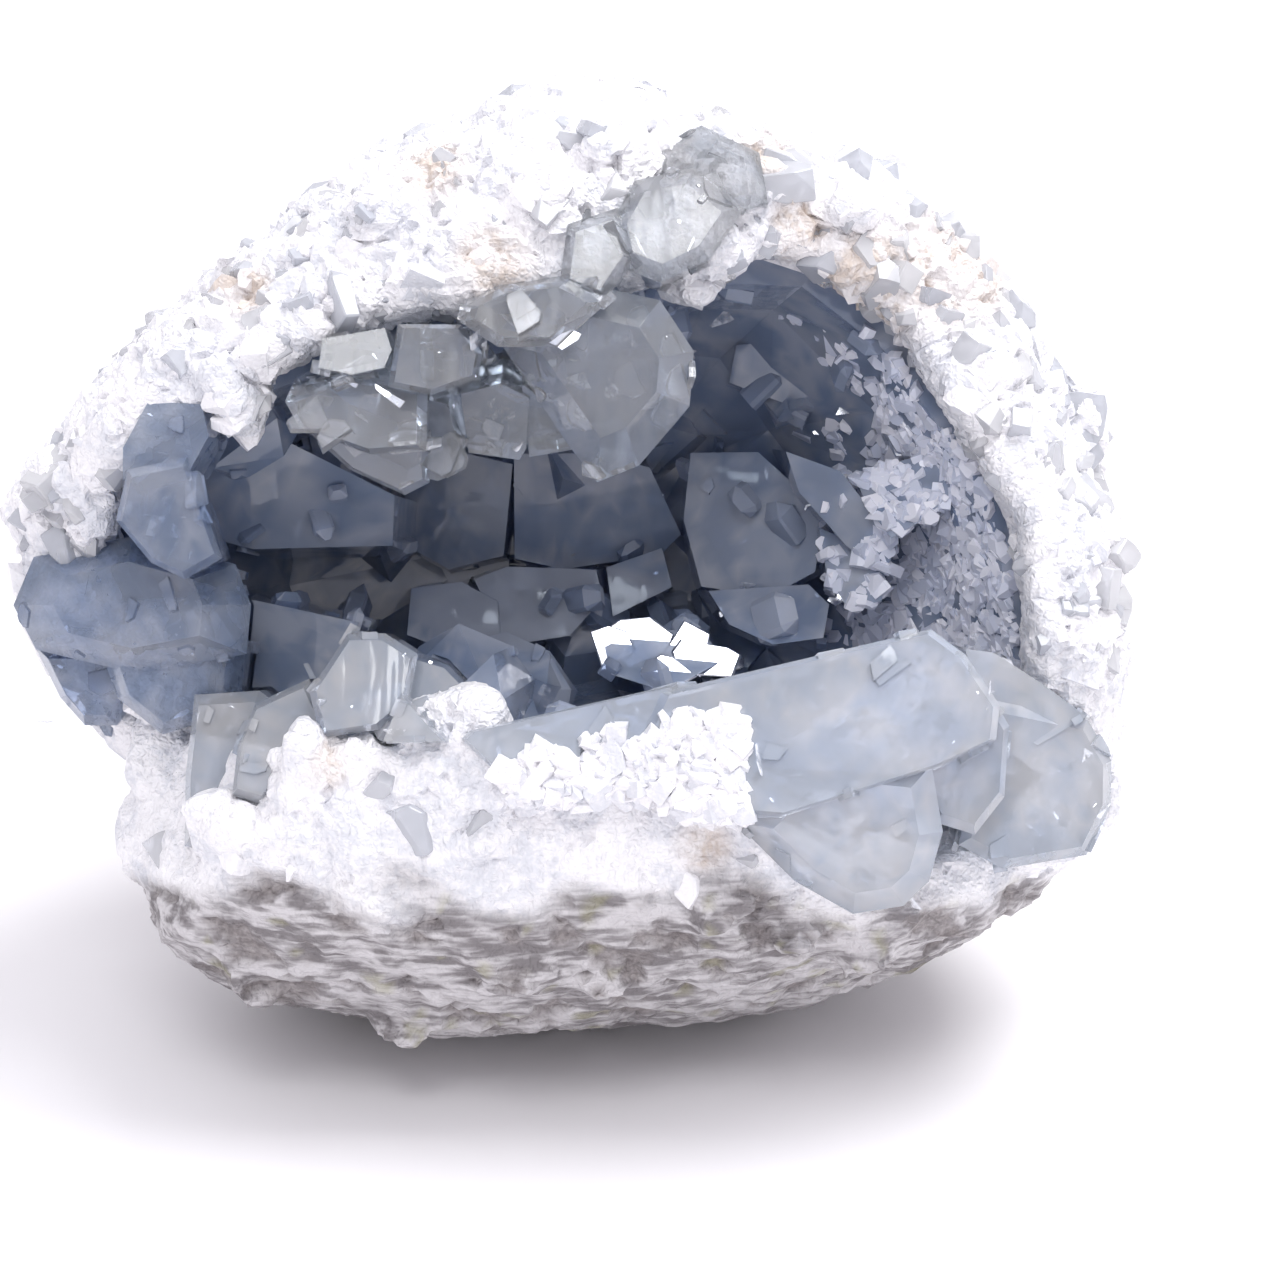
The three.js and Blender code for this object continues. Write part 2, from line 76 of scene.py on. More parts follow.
# %% The mouth's frame
LEAN_BACK = math.radians(22)
MOUTH_MIDDLE = Vector((-0.14, -1.56, 59.09)) * MM
RAISE = Matrix.Rotation(math.radians(90) - LEAN_BACK, 4, "X")
STAND = Matrix.Translation(MOUTH_MIDDLE) @ RAISE @ Matrix.Scale(MM, 4)
UNSTAND = STAND.inverted()


def from_mouth(x, y, z):
    """A place in the mouth's frame, in millimetres, as a point in metres"""
    return STAND @ Vector((x, y, z))


def mouth_coordinates(points):
    """Many points in metres as an array of places in the mouth's frame, in millimetres"""
    turn = np.array(UNSTAND)
    return points @ turn[:3, :3].T + turn[:3, 3]


print("the mouth looks along", [round(v, 2) for v in (STAND.to_3x3() @ Vector((0, 0, 1))).normalized()])

# %% [markdown]
# ## Camera, floor and light
# The camera looks straight into the mouth from half a metre, so it stands 22 degrees above the
# level. The picture of the nodule sits up and left of the middle, so the aim is a point right of
# and below the mouth's middle. The floor is pale and the light is soft: a bright room, a broad
# panel high at the right that blanches the rim, and a small one above the camera, which lights
# the floor of the hollow and is what the bright cleavage faces mirror.

# %% Camera
AIM = (9.6, -8.3)
DISTANCE_MM = 500
PICTURE_PIXELS = 1280
MIDDLE_PIXEL = PICTURE_PIXELS / 2
PIXELS_PER_MM = 7.8
FIELD_MM = PICTURE_PIXELS / PIXELS_PER_MM
SENSOR_MM = 36

camera = bpy.data.objects.new("camera", bpy.data.cameras.new("camera"))
camera.data.sensor_width = SENSOR_MM
camera.data.lens = SENSOR_MM * DISTANCE_MM / FIELD_MM
camera.data.clip_start = 0.01
camera.location = from_mouth(*AIM, DISTANCE_MM)
toward = from_mouth(*AIM, 0) - camera.location
camera.rotation_euler = toward.to_track_quat("-Z", "Y").to_euler()
bpy.context.scene.collection.objects.link(camera)
bpy.context.scene.camera = camera
print("the lens is", round(camera.data.lens), "mm")

# %% Floor and lights
FLOOR_RADIUS = 3.0
floor_mesh = bpy.data.meshes.new("floor")
bm = bmesh.new()
bmesh.ops.create_circle(bm, cap_ends=True, segments=64, radius=FLOOR_RADIUS)
bm.to_mesh(floor_mesh)
bm.free()
floor = bpy.data.objects.new("floor", floor_mesh)
bpy.context.scene.collection.objects.link(floor)
floor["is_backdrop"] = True


def add_panel(name, place, aim, size, power):
    """A rectangle of light at a place, turned to face another"""
    light = bpy.data.lights.new(name, "AREA")
    light.shape = "RECTANGLE"
    light.size, light.size_y = size
    light.energy = power
    panel = bpy.data.objects.new(name, light)
    panel.location = place
    panel.rotation_euler = (Vector(aim) - Vector(place)).to_track_quat("-Z", "Y").to_euler()
    bpy.context.scene.collection.objects.link(panel)
    return panel


middle = (cad_low + cad_high) / 2
add_panel("panel_overhead", place=(0.34, 0.04, 0.8), aim=middle, size=(0.6, 0.45), power=6)
front_panel = add_panel("panel_front", place=(-0.06, -0.5, 0.66), aim=middle, size=(0.3, 0.22), power=1.2)
print("the floor reaches", FLOOR_RADIUS, "m and two panels light the nodule")

# %% The room: bright above, dimmer below
LOW_RISE, HIGH_RISE = -0.6, 0.9
DIM, BRIGHT = 0.45, 1.15
ROOM_TINT = (0.965, 0.945, 1.0, 1)
world = bpy.data.worlds.new("room")
world.use_nodes = True
room_tree = world.node_tree
way = room_tree.nodes.new("ShaderNodeTexCoord")
parts = room_tree.nodes.new("ShaderNodeSeparateXYZ")
rise = room_tree.nodes.new("ShaderNodeMapRange")
rise.inputs["From Min"].default_value, rise.inputs["From Max"].default_value = LOW_RISE, HIGH_RISE
rise.inputs["To Min"].default_value, rise.inputs["To Max"].default_value = DIM, BRIGHT
room_tree.links.new(way.outputs["Generated"], parts.inputs[0])
room_tree.links.new(parts.outputs["Z"], rise.inputs["Value"])
room_tree.links.new(rise.outputs["Result"], room_tree.nodes["Background"].inputs["Strength"])
room_tree.nodes["Background"].inputs["Color"].default_value = ROOM_TINT
bpy.context.scene.world = world
bpy.context.scene.view_settings.view_transform = "Standard"
# An even room needs no aimed sampling, two panels need no light tree, and mirror caustics would
# only add bright specks
world.cycles.sampling_method = "NONE"
bpy.context.scene.cycles.use_light_tree = False
bpy.context.scene.cycles.caustics_reflective = False
print("the room's light goes from", DIM, "below to", BRIGHT, "above")

# %% [markdown]
# ## Shader groups
# Two effects serve several finishes. Sugar gives the fine sharp crumbs of broken crystal, as a
# height whose valleys are creases. Clouds give soft patches at a chosen size and stretch.

# %% Shader groups


def new_group(name, inputs, outputs):
    """An empty shader group with named sockets, and its two end nodes"""
    group = bpy.data.node_groups.new(name, "ShaderNodeTree")
    for socket, kind, value in inputs:
        made = group.interface.new_socket(socket, in_out="INPUT", socket_type=kind)
        made.default_value = value
    for socket, kind in outputs:
        group.interface.new_socket(socket, in_out="OUTPUT", socket_type=kind)
    return group, group.nodes.new("NodeGroupInput"), group.nodes.new("NodeGroupOutput")


class Wiring:
    """Short words for adding and linking nodes in one tree"""

    def __init__(self, tree):
        self.tree = tree

    def add(self, kind, links=None, **settings):
        node = self.tree.nodes.new(kind)
        for key, value in settings.items():
            setattr(node, key, value)
        for key, value in (links or {}).items():
            self.feed(node.inputs[key], value)
        return node

    def feed(self, socket, value):
        if isinstance(value, bpy.types.NodeSocket):
            self.tree.links.new(value, socket)
        else:
            socket.default_value = value

    def math(self, operation, first, second=0.0):
        return self.add("ShaderNodeMath", {0: first, 1: second}, operation=operation).outputs[0]

    def stretched(self, place, stretch):
        node = self.add("ShaderNodeVectorMath", {0: place, 1: stretch}, operation="MULTIPLY")
        return node.outputs[0]

    def ramp(self, value, low, high, out_low=0.0, out_high=1.0):
        node = self.add("ShaderNodeMapRange", {"Value": value, "From Min": low, "From Max": high,
                                               "To Min": out_low, "To Max": out_high},
                        interpolation_type="SMOOTHSTEP")
        return node.outputs["Result"]

    def mix(self, share, first, second):
        node = self.add("ShaderNodeMix", data_type="RGBA")
        self.feed(node.inputs["Factor"], share)
        self.feed(node.inputs["A"], first)
        self.feed(node.inputs["B"], second)
        return node.outputs["Result"]


sugar, start, end = new_group(
    "Sugar",
    [("Grain Size", "NodeSocketFloat", 0.001)],
    [("Height", "NodeSocketFloat")])
wire = Wiring(sugar)
place = wire.add("ShaderNodeTexCoord").outputs["Object"]
crumbs = wire.add("ShaderNodeTexNoise", {"Vector": place, "Detail": 1.0, "Roughness": 0.6})
wire.feed(crumbs.inputs["Scale"], wire.math("DIVIDE", 1.0, start.outputs["Grain Size"]))
ridged = wire.math("ABSOLUTE", wire.math("SUBTRACT", crumbs.outputs["Fac"], 0.5))
wire.feed(end.inputs["Height"], wire.math("MULTIPLY", ridged, start.outputs["Grain Size"]))

clouds, start, end = new_group(
    "Clouds",
    [("Size", "NodeSocketFloat", 0.01), ("Low", "NodeSocketFloat", 0.4), ("High", "NodeSocketFloat", 0.6),
     ("Stretch", "NodeSocketVector", (1, 1, 1))],
    [("Mask", "NodeSocketFloat")])
wire = Wiring(clouds)
place = wire.add("ShaderNodeTexCoord").outputs["Object"]
pulled = wire.stretched(place, start.outputs["Stretch"])
spread = wire.add("ShaderNodeTexNoise", {"Vector": pulled, "Detail": 2.0, "Roughness": 0.6})
wire.feed(spread.inputs["Scale"], wire.math("DIVIDE", 1.0, start.outputs["Size"]))
wire.feed(end.inputs["Mask"], wire.ramp(spread.outputs["Fac"], start.outputs["Low"], start.outputs["High"]))
print("groups:", [group.name for group in bpy.data.node_groups])

# %% [markdown]
# ## Meshes from arrays
# A broken geode has thousands of small crystals. There are three forms: a block with its corners
# taken off by flat planes, a prism that ends in a chisel, and a thin flake. A few of each are made
# as templates and then set down many times, turned and sized by chance, into one plain mesh.

# %% Pieces and their meshes


def settled(piece):
    """Puts the result of a piece's modifiers into its mesh, so that no modifier is left"""
    ready = piece.evaluated_get(bpy.context.evaluated_depsgraph_get())
    mesh = bpy.data.meshes.new_from_object(ready)
    mesh.name = piece.name
    piece.modifiers.clear()
    piece.data = mesh


def new_piece(name, mesh, finish=None):
    """A piece of the visual model, which rides on the part's one body"""
    piece = bpy.data.objects.new(name, mesh)
    bpy.context.scene.collection.objects.link(piece)
    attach(piece, "root")
    if finish:
        mesh.materials.append(finish)
    return piece


def copied_solid(name, node):
    """A new piece that starts as the shape of a CAD node and stands for it"""
    piece = new_piece(name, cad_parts[node].data.copy())
    piece.data.materials.clear()
    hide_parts(node)
    return piece


def corners_of(mesh):
    """Places of a mesh's corners, one row each"""
    places = np.empty(len(mesh.vertices) * 3)
    mesh.vertices.foreach_get("co", places)
    return places.reshape(-1, 3)


def normals_of(mesh):
    """Outward directions at a mesh's corners, one row each"""
    normals = np.empty(len(mesh.vertices) * 3)
    mesh.vertices.foreach_get("normal", normals)
    return normals.reshape(-1, 3)


def mesh_of(name, corners, triangles):
    """A flat-shaded mesh from an array of corners and one of triangles"""
    mesh = bpy.data.meshes.new(name)
    mesh.vertices.add(len(corners))
    mesh.vertices.foreach_set("co", corners.ravel())
    mesh.loops.add(triangles.size)
    mesh.loops.foreach_set("vertex_index", triangles.ravel().astype(np.int32))
    mesh.polygons.add(len(triangles))
    mesh.polygons.foreach_set("loop_start", np.arange(0, triangles.size, 3, dtype=np.int32))
    mesh.update(calc_edges=True)
    mesh.shade_flat()
    return mesh


def carry_mask(mesh, title, values):
    """A mask between 0 and 1 that the corners of a mesh carry for its finish"""
    mask = mesh.attributes.new(title, "FLOAT", "POINT")
    mask.data.foreach_set("value", np.asarray(values, np.float32))


def triangles_in(piece):
    piece.data.calc_loop_triangles()
    return len(piece.data.loop_triangles)


@contextmanager
def edited(mesh):
    """A mesh opened for cutting, and written back at the end"""
    bm = bmesh.new()
    bm.from_mesh(mesh)
    yield bm
    bm.to_mesh(mesh)
    bm.free()


print("the frame has", list(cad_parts))

# %% Forms that are set down many times
FLAT_TO_BEVEL = 0.02
CUTS, CUT_REACH = (7, 12), (0.55, 0.85)
PRISM_WIDTH, PRISM_DEPTH, PRISM_CORNER = (0.28, 0.42), (0.14, 0.26), (0.55, 0.8)
PRISM_FOOT, PRISM_SHOULDER = -0.4, (0.3, 0.45)
CHISEL_TOP, CHISEL_END = 0.62, 0.52
UPPER_FACE = 0.93


def template(bm, bevel=0.0):
    """A closed solid as corners and triangles, with its edges taken off if a bevel is given"""
    if bevel:
        bmesh.ops.dissolve_limit(bm, angle_limit=FLAT_TO_BEVEL, verts=bm.verts, edges=bm.edges)
        bmesh.ops.bevel(bm, geom=bm.edges, offset=bevel, segments=1, affect="EDGES", clamp_overlap=True)
    bmesh.ops.triangulate(bm, faces=bm.faces)
    bm.verts.index_update()
    corners = np.array([vertex.co[:] for vertex in bm.verts])
    triangles = np.array([[vertex.index for vertex in face.verts] for face in bm.faces])
    bm.free()
    return corners, triangles


def broken_block(draw, bevel=0.0):
    """A block about one unit across with seven to eleven flat cuts, as a cleaved fragment has"""
    bm = bmesh.new()
    bmesh.ops.create_cube(bm, size=1.0)
    bmesh.ops.scale(bm, vec=(1.0, draw.uniform(0.6, 1.0), draw.uniform(0.4, 0.8)), verts=bm.verts)
    for _ in range(draw.integers(*CUTS)):
        aside = Vector(draw.normal(size=3)).normalized()
        reach = max(vertex.co.dot(aside) for vertex in bm.verts)
        whole = bm.verts[:] + bm.edges[:] + bm.faces[:]
        cut = bmesh.ops.bisect_plane(bm, geom=whole, plane_co=aside * reach * draw.uniform(*CUT_REACH),
                                     plane_no=aside, clear_outer=True)
        rim = [edge for edge in cut["geom_cut"] if isinstance(edge, bmesh.types.BMEdge)]
        bmesh.ops.contextual_create(bm, geom=rim)
    bmesh.ops.recalc_face_normals(bm, faces=bm.faces)
    return template(bm, bevel)


def hull_template(bm):
    """The smallest convex solid round some corners, as a template"""
    bmesh.ops.convex_hull(bm, input=bm.verts)
    loose = [vertex for vertex in bm.verts if not vertex.link_faces]
    bmesh.ops.delete(bm, geom=loose, context="VERTS")
    return template(bm)


def celestite_form(draw):
    """A celestite crystal one unit tall: a flattened prism that ends in a chisel with cut corners"""
    wide, thin = draw.uniform(*PRISM_WIDTH), draw.uniform(*PRISM_DEPTH)
    corner = draw.uniform(*PRISM_CORNER)
    bm = bmesh.new()
    for height in (PRISM_FOOT, draw.uniform(*PRISM_SHOULDER)):
        for x, y in ((wide, corner * thin), (corner * wide, thin)):
            for side_x, side_y in ((1, 1), (1, -1), (-1, 1), (-1, -1)):
                bm.verts.new((side_x * x, side_y * y, height))
    ridge = draw.uniform(0.3, 0.6) * wide
    for side in (-1, 1):
        bm.verts.new((side * ridge, 0.04 * thin, CHISEL_TOP))
        bm.verts.new((side * (ridge + 0.4 * (wide - ridge)), 0, CHISEL_END))
    return hull_template(bm)


def flat_shard(draw, thickness):
    """A thin flat flake one unit across with five to eight uneven corners"""
    count = int(draw.integers(5, 9))
    turns = np.sort(draw.uniform(0, 2 * math.pi, count))
    reach = draw.uniform(0.3, 0.5, count)
    bm = bmesh.new()
    for height, size in ((-0.5, 1.0), (0.5, UPPER_FACE)):
        for turn, out in zip(turns, reach):
            bm.verts.new((math.cos(turn) * out * size, math.sin(turn) * out * size, height * thickness))
    return hull_template(bm)


draw = np.random.default_rng(3)
print("a broken block has", len(broken_block(draw)[1]), "triangles, a crystal", len(celestite_form(draw)[1]))

# %% Turns, and many forms in one mesh


def turned_up(normals, lean, draw):
    """One turn for each place: its up along the normal, leaned and spun by chance"""
    up = normals + draw.normal(size=normals.shape) * lean
    up /= np.linalg.norm(up, axis=1)[:, None]
    side = np.cross(draw.normal(size=normals.shape), up)
    side /= np.linalg.norm(side, axis=1)[:, None]
    return np.stack([side, np.cross(up, side), up], axis=2)


def scatter(name, forms, places, turns, sizes, draw, masks=None):
    """One mesh holding a form at each place; sizes has three numbers for each place

    A mask has one value for each place, which all corners of the form there carry."""
    kinds = draw.integers(0, len(forms), len(places))
    corner_rows, triangle_rows, owners, first = [], [], [], 0
    for kind, (corners, triangles) in enumerate(forms):
        mine = kinds == kind
        set_down = np.einsum("nij,nj,cj->nci", turns[mine], sizes[mine], corners) + places[mine][:, None, :]
        starts = first + np.arange(mine.sum()) * len(corners)
        corner_rows.append(set_down.reshape(-1, 3))
        triangle_rows.append((triangles[None] + starts[:, None, None]).reshape(-1, 3))
        owners.append(np.repeat(np.flatnonzero(mine), len(corners)))
        first += mine.sum() * len(corners)
    mesh = mesh_of(name, np.concatenate(corner_rows), np.concatenate(triangle_rows))
    for title, values in (masks or {}).items():
        carry_mask(mesh, title, values[np.concatenate(owners)])
    return mesh


def chance_turns(count, draw):
    """Turns in no particular direction"""
    ways = np.linalg.qr(draw.normal(size=(count, 3, 3)))[0]
    ways[:, :, 0] *= np.sign(np.linalg.det(ways))[:, None]
    return ways


print("a turned form keeps its size:", round(float(np.linalg.det(chance_turns(1, draw)[0])), 3))

# %% [markdown]
# ## The wall of rock
# The wall's solid is remeshed to about a millimetre, so that relief can be moved into it. At the
# break it is white crystal, grown together and broken to facets. Outside it is a skin with thin
# slanting layers and pits. In the hollow it is the ground that the crystals grow on, painted a
# dark blue-grey as painted shade of the deep hollow.
# First come the places: where the wall is skin, and where clay and iron have stained the break.

# %% Where the wall is skin, and how far a point lies from a CAD node
SKIN_BELOW = -39
SKIN_BEHIND = -4
EDGE_WAVE = 3.5


def smooth_step(value, low, high):
    """0 below a range of values, 1 above it, and a soft rise between"""
    share = np.clip((value - low) / (high - low), 0, 1)
    return share * share * (3 - 2 * share)


def tree_of(node):
    """A search tree of the faces of a CAD node"""
    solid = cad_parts[node].data
    return BVHTree.FromPolygons([v.co for v in solid.vertices], [p.vertices for p in solid.polygons])


def near(node, points):
    """Distance in metres of each point from a CAD node"""
    tree = tree_of(node)
    return np.array([tree.find_nearest(point)[3] for point in points])


def skin_share(points):
    """1 on the outer skin, 0 on the broken band"""
    at = mouth_coordinates(points)
    uneven = EDGE_WAVE * np.sin(at[:, 0] * 0.23) * np.cos(at[:, 1] * 0.31 + at[:, 0] * 0.11)
    below = smooth_step(SKIN_BELOW - at[:, 1] + uneven, -3, 3)
    behind = smooth_step(SKIN_BEHIND - at[:, 2] + uneven, -4, 4)
    return np.maximum(below, behind)


print("skin lies below", SKIN_BELOW, "mm and behind", SKIN_BEHIND, "mm in the mouth's frame")

# %% Where the break is stained
# Each stain is a point of the camera's picture, its height out of the mouth and its reach in mm
STAINS = [(430, 165, 32, 5), (495, 262, 38, 5), (590, 292, 40, 3.5), (765, 150, 26, 4), (330, 765, 34, 3),
          (705, 850, 38, 4), (860, 290, 20, 8), (950, 270, 22, 8), (800, 225, 26, 4), (250, 300, 28, 4)]


def seen_at(x_pixel, y_pixel, height):
    """The place, at a height out of the mouth in mm, that the camera sees at a point of its picture"""
    nearer = (1 - height / DISTANCE_MM) / PIXELS_PER_MM
    right_of, below = x_pixel - MIDDLE_PIXEL, y_pixel - MIDDLE_PIXEL
    return np.array((AIM[0] + right_of * nearer, AIM[1] - below * nearer, height))


def pixels_of(points):
    """Where the camera sees points: pixels of its picture from the left and from the top"""
    at = mouth_coordinates(points)
    nearer = (1 - at[:, 2] / DISTANCE_MM) / PIXELS_PER_MM
    return MIDDLE_PIXEL + (at[:, 0] - AIM[0]) / nearer, MIDDLE_PIXEL - (at[:, 1] - AIM[1]) / nearer


def stain_share(points):
    """1 in the middle of a stain, 0 where the crystal is clean"""
    at = mouth_coordinates(points)
    share = np.zeros(len(at))
    for x_pixel, y_pixel, height, reach in STAINS:
        away = np.linalg.norm((at - seen_at(x_pixel, y_pixel, height)) * (1, 1, 0.5), axis=1)
        share = np.maximum(share, 1 - smooth_step(away, 0.5 * reach, 1.3 * reach))
    return share


print(len(STAINS), "stains on the break")

# %% The wall remeshed, with the band round the mouth cut finer
VOXEL = 0.00122
FINER_ABOVE = 7
CLEAR_OF_CRUST = 0.0018
IN_BAND = 0.3
rock = copied_solid("rock_wall", "geode_shell")
remesh = rock.modifiers.new("even", "REMESH")
remesh.mode = "VOXEL"
remesh.voxel_size = VOXEL
settled(rock)
rough_places = corners_of(rock.data)
rough_band = (1 - skin_share(rough_places)) * (near("crystal_crust", rough_places) > CLEAR_OF_CRUST)
rough_band *= mouth_coordinates(rough_places)[:, 2] > FINER_ABOVE
with edited(rock.data) as bm:
    finer = [edge for edge in bm.edges if min(rough_band[v.index] for v in edge.verts) > IN_BAND]
    bmesh.ops.subdivide_edges(bm, edges=finer, cuts=1, use_grid_fill=True)
    bmesh.ops.triangulate(bm, faces=bm.faces)
places = corners_of(rock.data)
normals = normals_of(rock.data)
print("the wall has", triangles_in(rock), "triangles and", len(places), "corners")

# %% [markdown]
# ## Relief of the wall
# Broken crystal is many leaned facets that meet in sharp creases, and noise alone can't give that.
# Here each crystal is the space under four leaned planes, and the wall takes the height of the
# highest crystal at each point. Two sizes of crystal lie over each other, and below the mouth
# they are lower, where the break is smoother. The skin's layers and pits are noise, drawn out
# along a slant. The small flat spot that the nodule stands on stays flat.

# %% Crystals grown together, as a height over the wall
BAND_AREA = 0.025
PLANES = 4
NEIGHBOURS = 6
STEEPEST = 0.35


def grown(points, ways, where, spacing, size, lean, draw):
    """Height of a crust of crystals over each point, and which crystal stands there"""
    ground = np.flatnonzero(where > 0.2)
    seeds = draw.choice(ground, int(BAND_AREA / spacing ** 2), replace=False)
    tree = KDTree(len(seeds))
    for index, seed in enumerate(seeds):
        tree.insert(points[seed], index)
    tree.balance()
    planes = ways[seeds][:, None, :] + draw.normal(size=(len(seeds), PLANES, 3)) * lean
    planes /= np.linalg.norm(planes, axis=2)[:, :, None]
    tops = size * draw.uniform(0.3, 1.2, size=len(seeds))
    nearest = np.array([[found[1] for found in tree.find_n(points[i], NEIGHBOURS)] for i in ground])
    off = points[ground][:, None, :] - points[seeds][nearest]
    facing = np.maximum(np.einsum("nkjc,nc->nkj", planes[nearest], ways[ground]), STEEPEST)
    fall = np.einsum("nkjc,nkc->nkj", planes[nearest], off)
    crests = ((tops[nearest][:, :, None] - fall) / facing).min(axis=2)
    winner = crests.argmax(axis=1)
    height = np.zeros(len(points))
    height[ground] = np.clip(crests.max(axis=1), -0.6 * size, 1.3 * size)
    owner = np.zeros(len(points), int)
    owner[ground] = nearest[np.arange(len(ground)), winner]
    return height, owner


def rough(points, size, stretch=(1, 1, 1)):
    """Noise of a given size in metres, about -1 to 1"""
    scaled = points * (np.array(stretch) / size)
    return np.array([noise.fractal(Vector(point), 0.6, 2.0, 3) for point in scaled])


# %% Where each kind of wall lies
draw = np.random.default_rng(11)
skin = skin_share(places)
in_hollow = smooth_step(-near("crystal_crust", places), -0.0022, -0.001)
band = (1 - skin) * (1 - in_hollow)
print("corners in the band:", int((band > 0.5).sum()))

# %% Crystals of the break, and how clear each is
# Spacing, size and lean of the crystals
LARGE_CRYSTALS = (0.0046, 0.0016, 0.75)
SMALL_CRYSTALS = (0.0019, 0.0006, 0.7)
TONES, FIRST_SMALL_TONE = 20000, 9000
large, large_owner = grown(places, normals, band, *LARGE_CRYSTALS, draw)
small, small_owner = grown(places, normals, band, *SMALL_CRYSTALS, draw)
tones = draw.uniform(0, 1, size=TONES)
patches = smooth_step(rough(places, 0.007), -0.25, 0.35)
tone = 0.35 * tones[large_owner] + 0.25 * tones[small_owner + FIRST_SMALL_TONE] + 0.4 * patches
print(large_owner.max() + 1, "large and", small_owner.max() + 1, "small crystals in the band")

# %% Layers, pits, ledges and moss of the skin
FINE_LAYER, BROAD_LAYER = 0.0026, 0.012
PIT_SIZE, MOSS_SIZE, LEDGE_SIZE = 0.0046, 0.004, 0.003
PIT_DEPTH, LEDGE_HEIGHT = 0.0009, 0.0006
LEDGE_STEPS = 2.5
at = mouth_coordinates(places)
slanting, across = 0.88 * at[:, 0] - 0.48 * at[:, 1], 0.48 * at[:, 0] + 0.88 * at[:, 1]
along = np.stack([slanting * 0.42, across, at[:, 2] * 0.75], axis=1) * MM
fine, broad = rough(along, FINE_LAYER), rough(along, BROAD_LAYER)
layers = 0.6 * smooth_step(fine, -0.5, 0.5) + 0.4 * smooth_step(broad, -0.4, 0.4)
hollows = smooth_step(rough(along * (1.3, 1, 1), PIT_SIZE), 0.16, 0.42)
moss = smooth_step(rough(places, MOSS_SIZE), 0.56, 0.7)
ledges = rough(along, LEDGE_SIZE)
ledges = LEDGE_HEIGHT * (np.round(ledges * LEDGE_STEPS) / LEDGE_STEPS * 0.6 + ledges * 0.4)
pits = -PIT_DEPTH * hollows
print("pits cover", round(100 * float((hollows * skin).sum() / skin.sum())), "% of the skin")

# %% Relief moved into the wall
SINK = 0.0004
GROUND_GRAIN = 0.0002
UNDER_CRUST = 0.0006
FLAT_SPOT = 0.0012
CLEAR_OF_FLOOR = 0.0002
BOX_MARGIN = 0.0008
calm = 1 - 0.55 * smooth_step(-at[:, 1], 14, 26)
height = band * calm * (0.72 * large + small - SINK) + skin * (ledges + pits)
height += (1 - band) * GROUND_GRAIN * rough(places, 0.003)
height += in_hollow * UNDER_CRUST
moved = places + normals * height[:, None]
on_floor = places[:, 2] < FLAT_SPOT
moved[:, 2] = np.maximum(moved[:, 2], np.where(on_floor, 0.0, CLEAR_OF_FLOOR))
moved[on_floor, :2] = places[on_floor, :2]
lowest = np.array(cad_low) - (BOX_MARGIN, BOX_MARGIN, 0)
moved = np.clip(moved, lowest, np.array(cad_high) + BOX_MARGIN)
rock.data.vertices.foreach_set("co", moved.ravel())
rock.data.update()
print("relief from", round(height.min() / MM, 2), "to", round(height.max() / MM, 2), "mm")

# %% [markdown]
# ## Masks, and words for finishes
# What changes from place to place on the rock is carried by its mesh as masks, which a finish
# reads by name. The crystals' meshes carry how milky each place is.

# %% Masks on the wall
for title, values in (("skin", skin), ("hollow", in_hollow), ("tone", tone), ("stain", stain_share(places)),
                      ("layers", layers), ("hollows", hollows), ("moss", moss)):
    carry_mask(rock.data, title, values)
print("the wall carries", [mask.name for mask in rock.data.attributes if mask.data_type == "FLOAT"])

# %% Words for finishes


def group_node(wire, group, **values):
    """A node of a shader group, with values for its sockets"""
    node = wire.add("ShaderNodeGroup", node_tree=group)
    for name, value in values.items():
        wire.feed(node.inputs[name.replace("_", " ").title()], value)
    return node


def new_material(name):
    """A material, the wiring of its tree and its shader"""
    material = bpy.data.materials.new(name)
    material.use_nodes = True
    wire = Wiring(material.node_tree)
    return material, wire, material.node_tree.nodes["Principled BSDF"]


def mask_of(wire, title):
    """A mask that the mesh carries"""
    return wire.add("ShaderNodeAttribute", attribute_name=title).outputs["Fac"]


def bumpy(wire, shader, height, strength):
    """Gives a finish fine relief from a height in metres"""
    bump = wire.add("ShaderNodeBump", {"Height": height, "Strength": strength, "Distance": 1.0})
    wire.feed(shader.inputs["Normal"], bump.outputs["Normal"])


def sugary(wire, shader, grain_size, strength):
    """Gives a finish the crumbs of broken crystal"""
    bumpy(wire, shader, group_node(wire, sugar, grain_size=grain_size).outputs["Height"], strength)


# %% [markdown]
# ## The finish of the floor
# A pale matt sheet with a faint unevenness. It only scatters light, so it takes little time.

# %% Floor sheet
SHEET_DARK, SHEET_PALE = (0.87, 0.86, 0.875, 1), (0.91, 0.9, 0.915, 1)
SHEET_FLECKS = 40.0
paper, wire, shader = new_material("pale_paper")
paper.node_tree.nodes.remove(shader)
fleck = wire.add("ShaderNodeTexNoise", {"Scale": SHEET_FLECKS, "Detail": 0.0}).outputs["Fac"]
matt = wire.add("ShaderNodeBsdfDiffuse", {"Color": wire.mix(fleck, SHEET_DARK, SHEET_PALE)})
wire.feed(paper.node_tree.nodes["Material Output"].inputs["Surface"], matt.outputs["BSDF"])
floor_mesh.materials.append(paper)
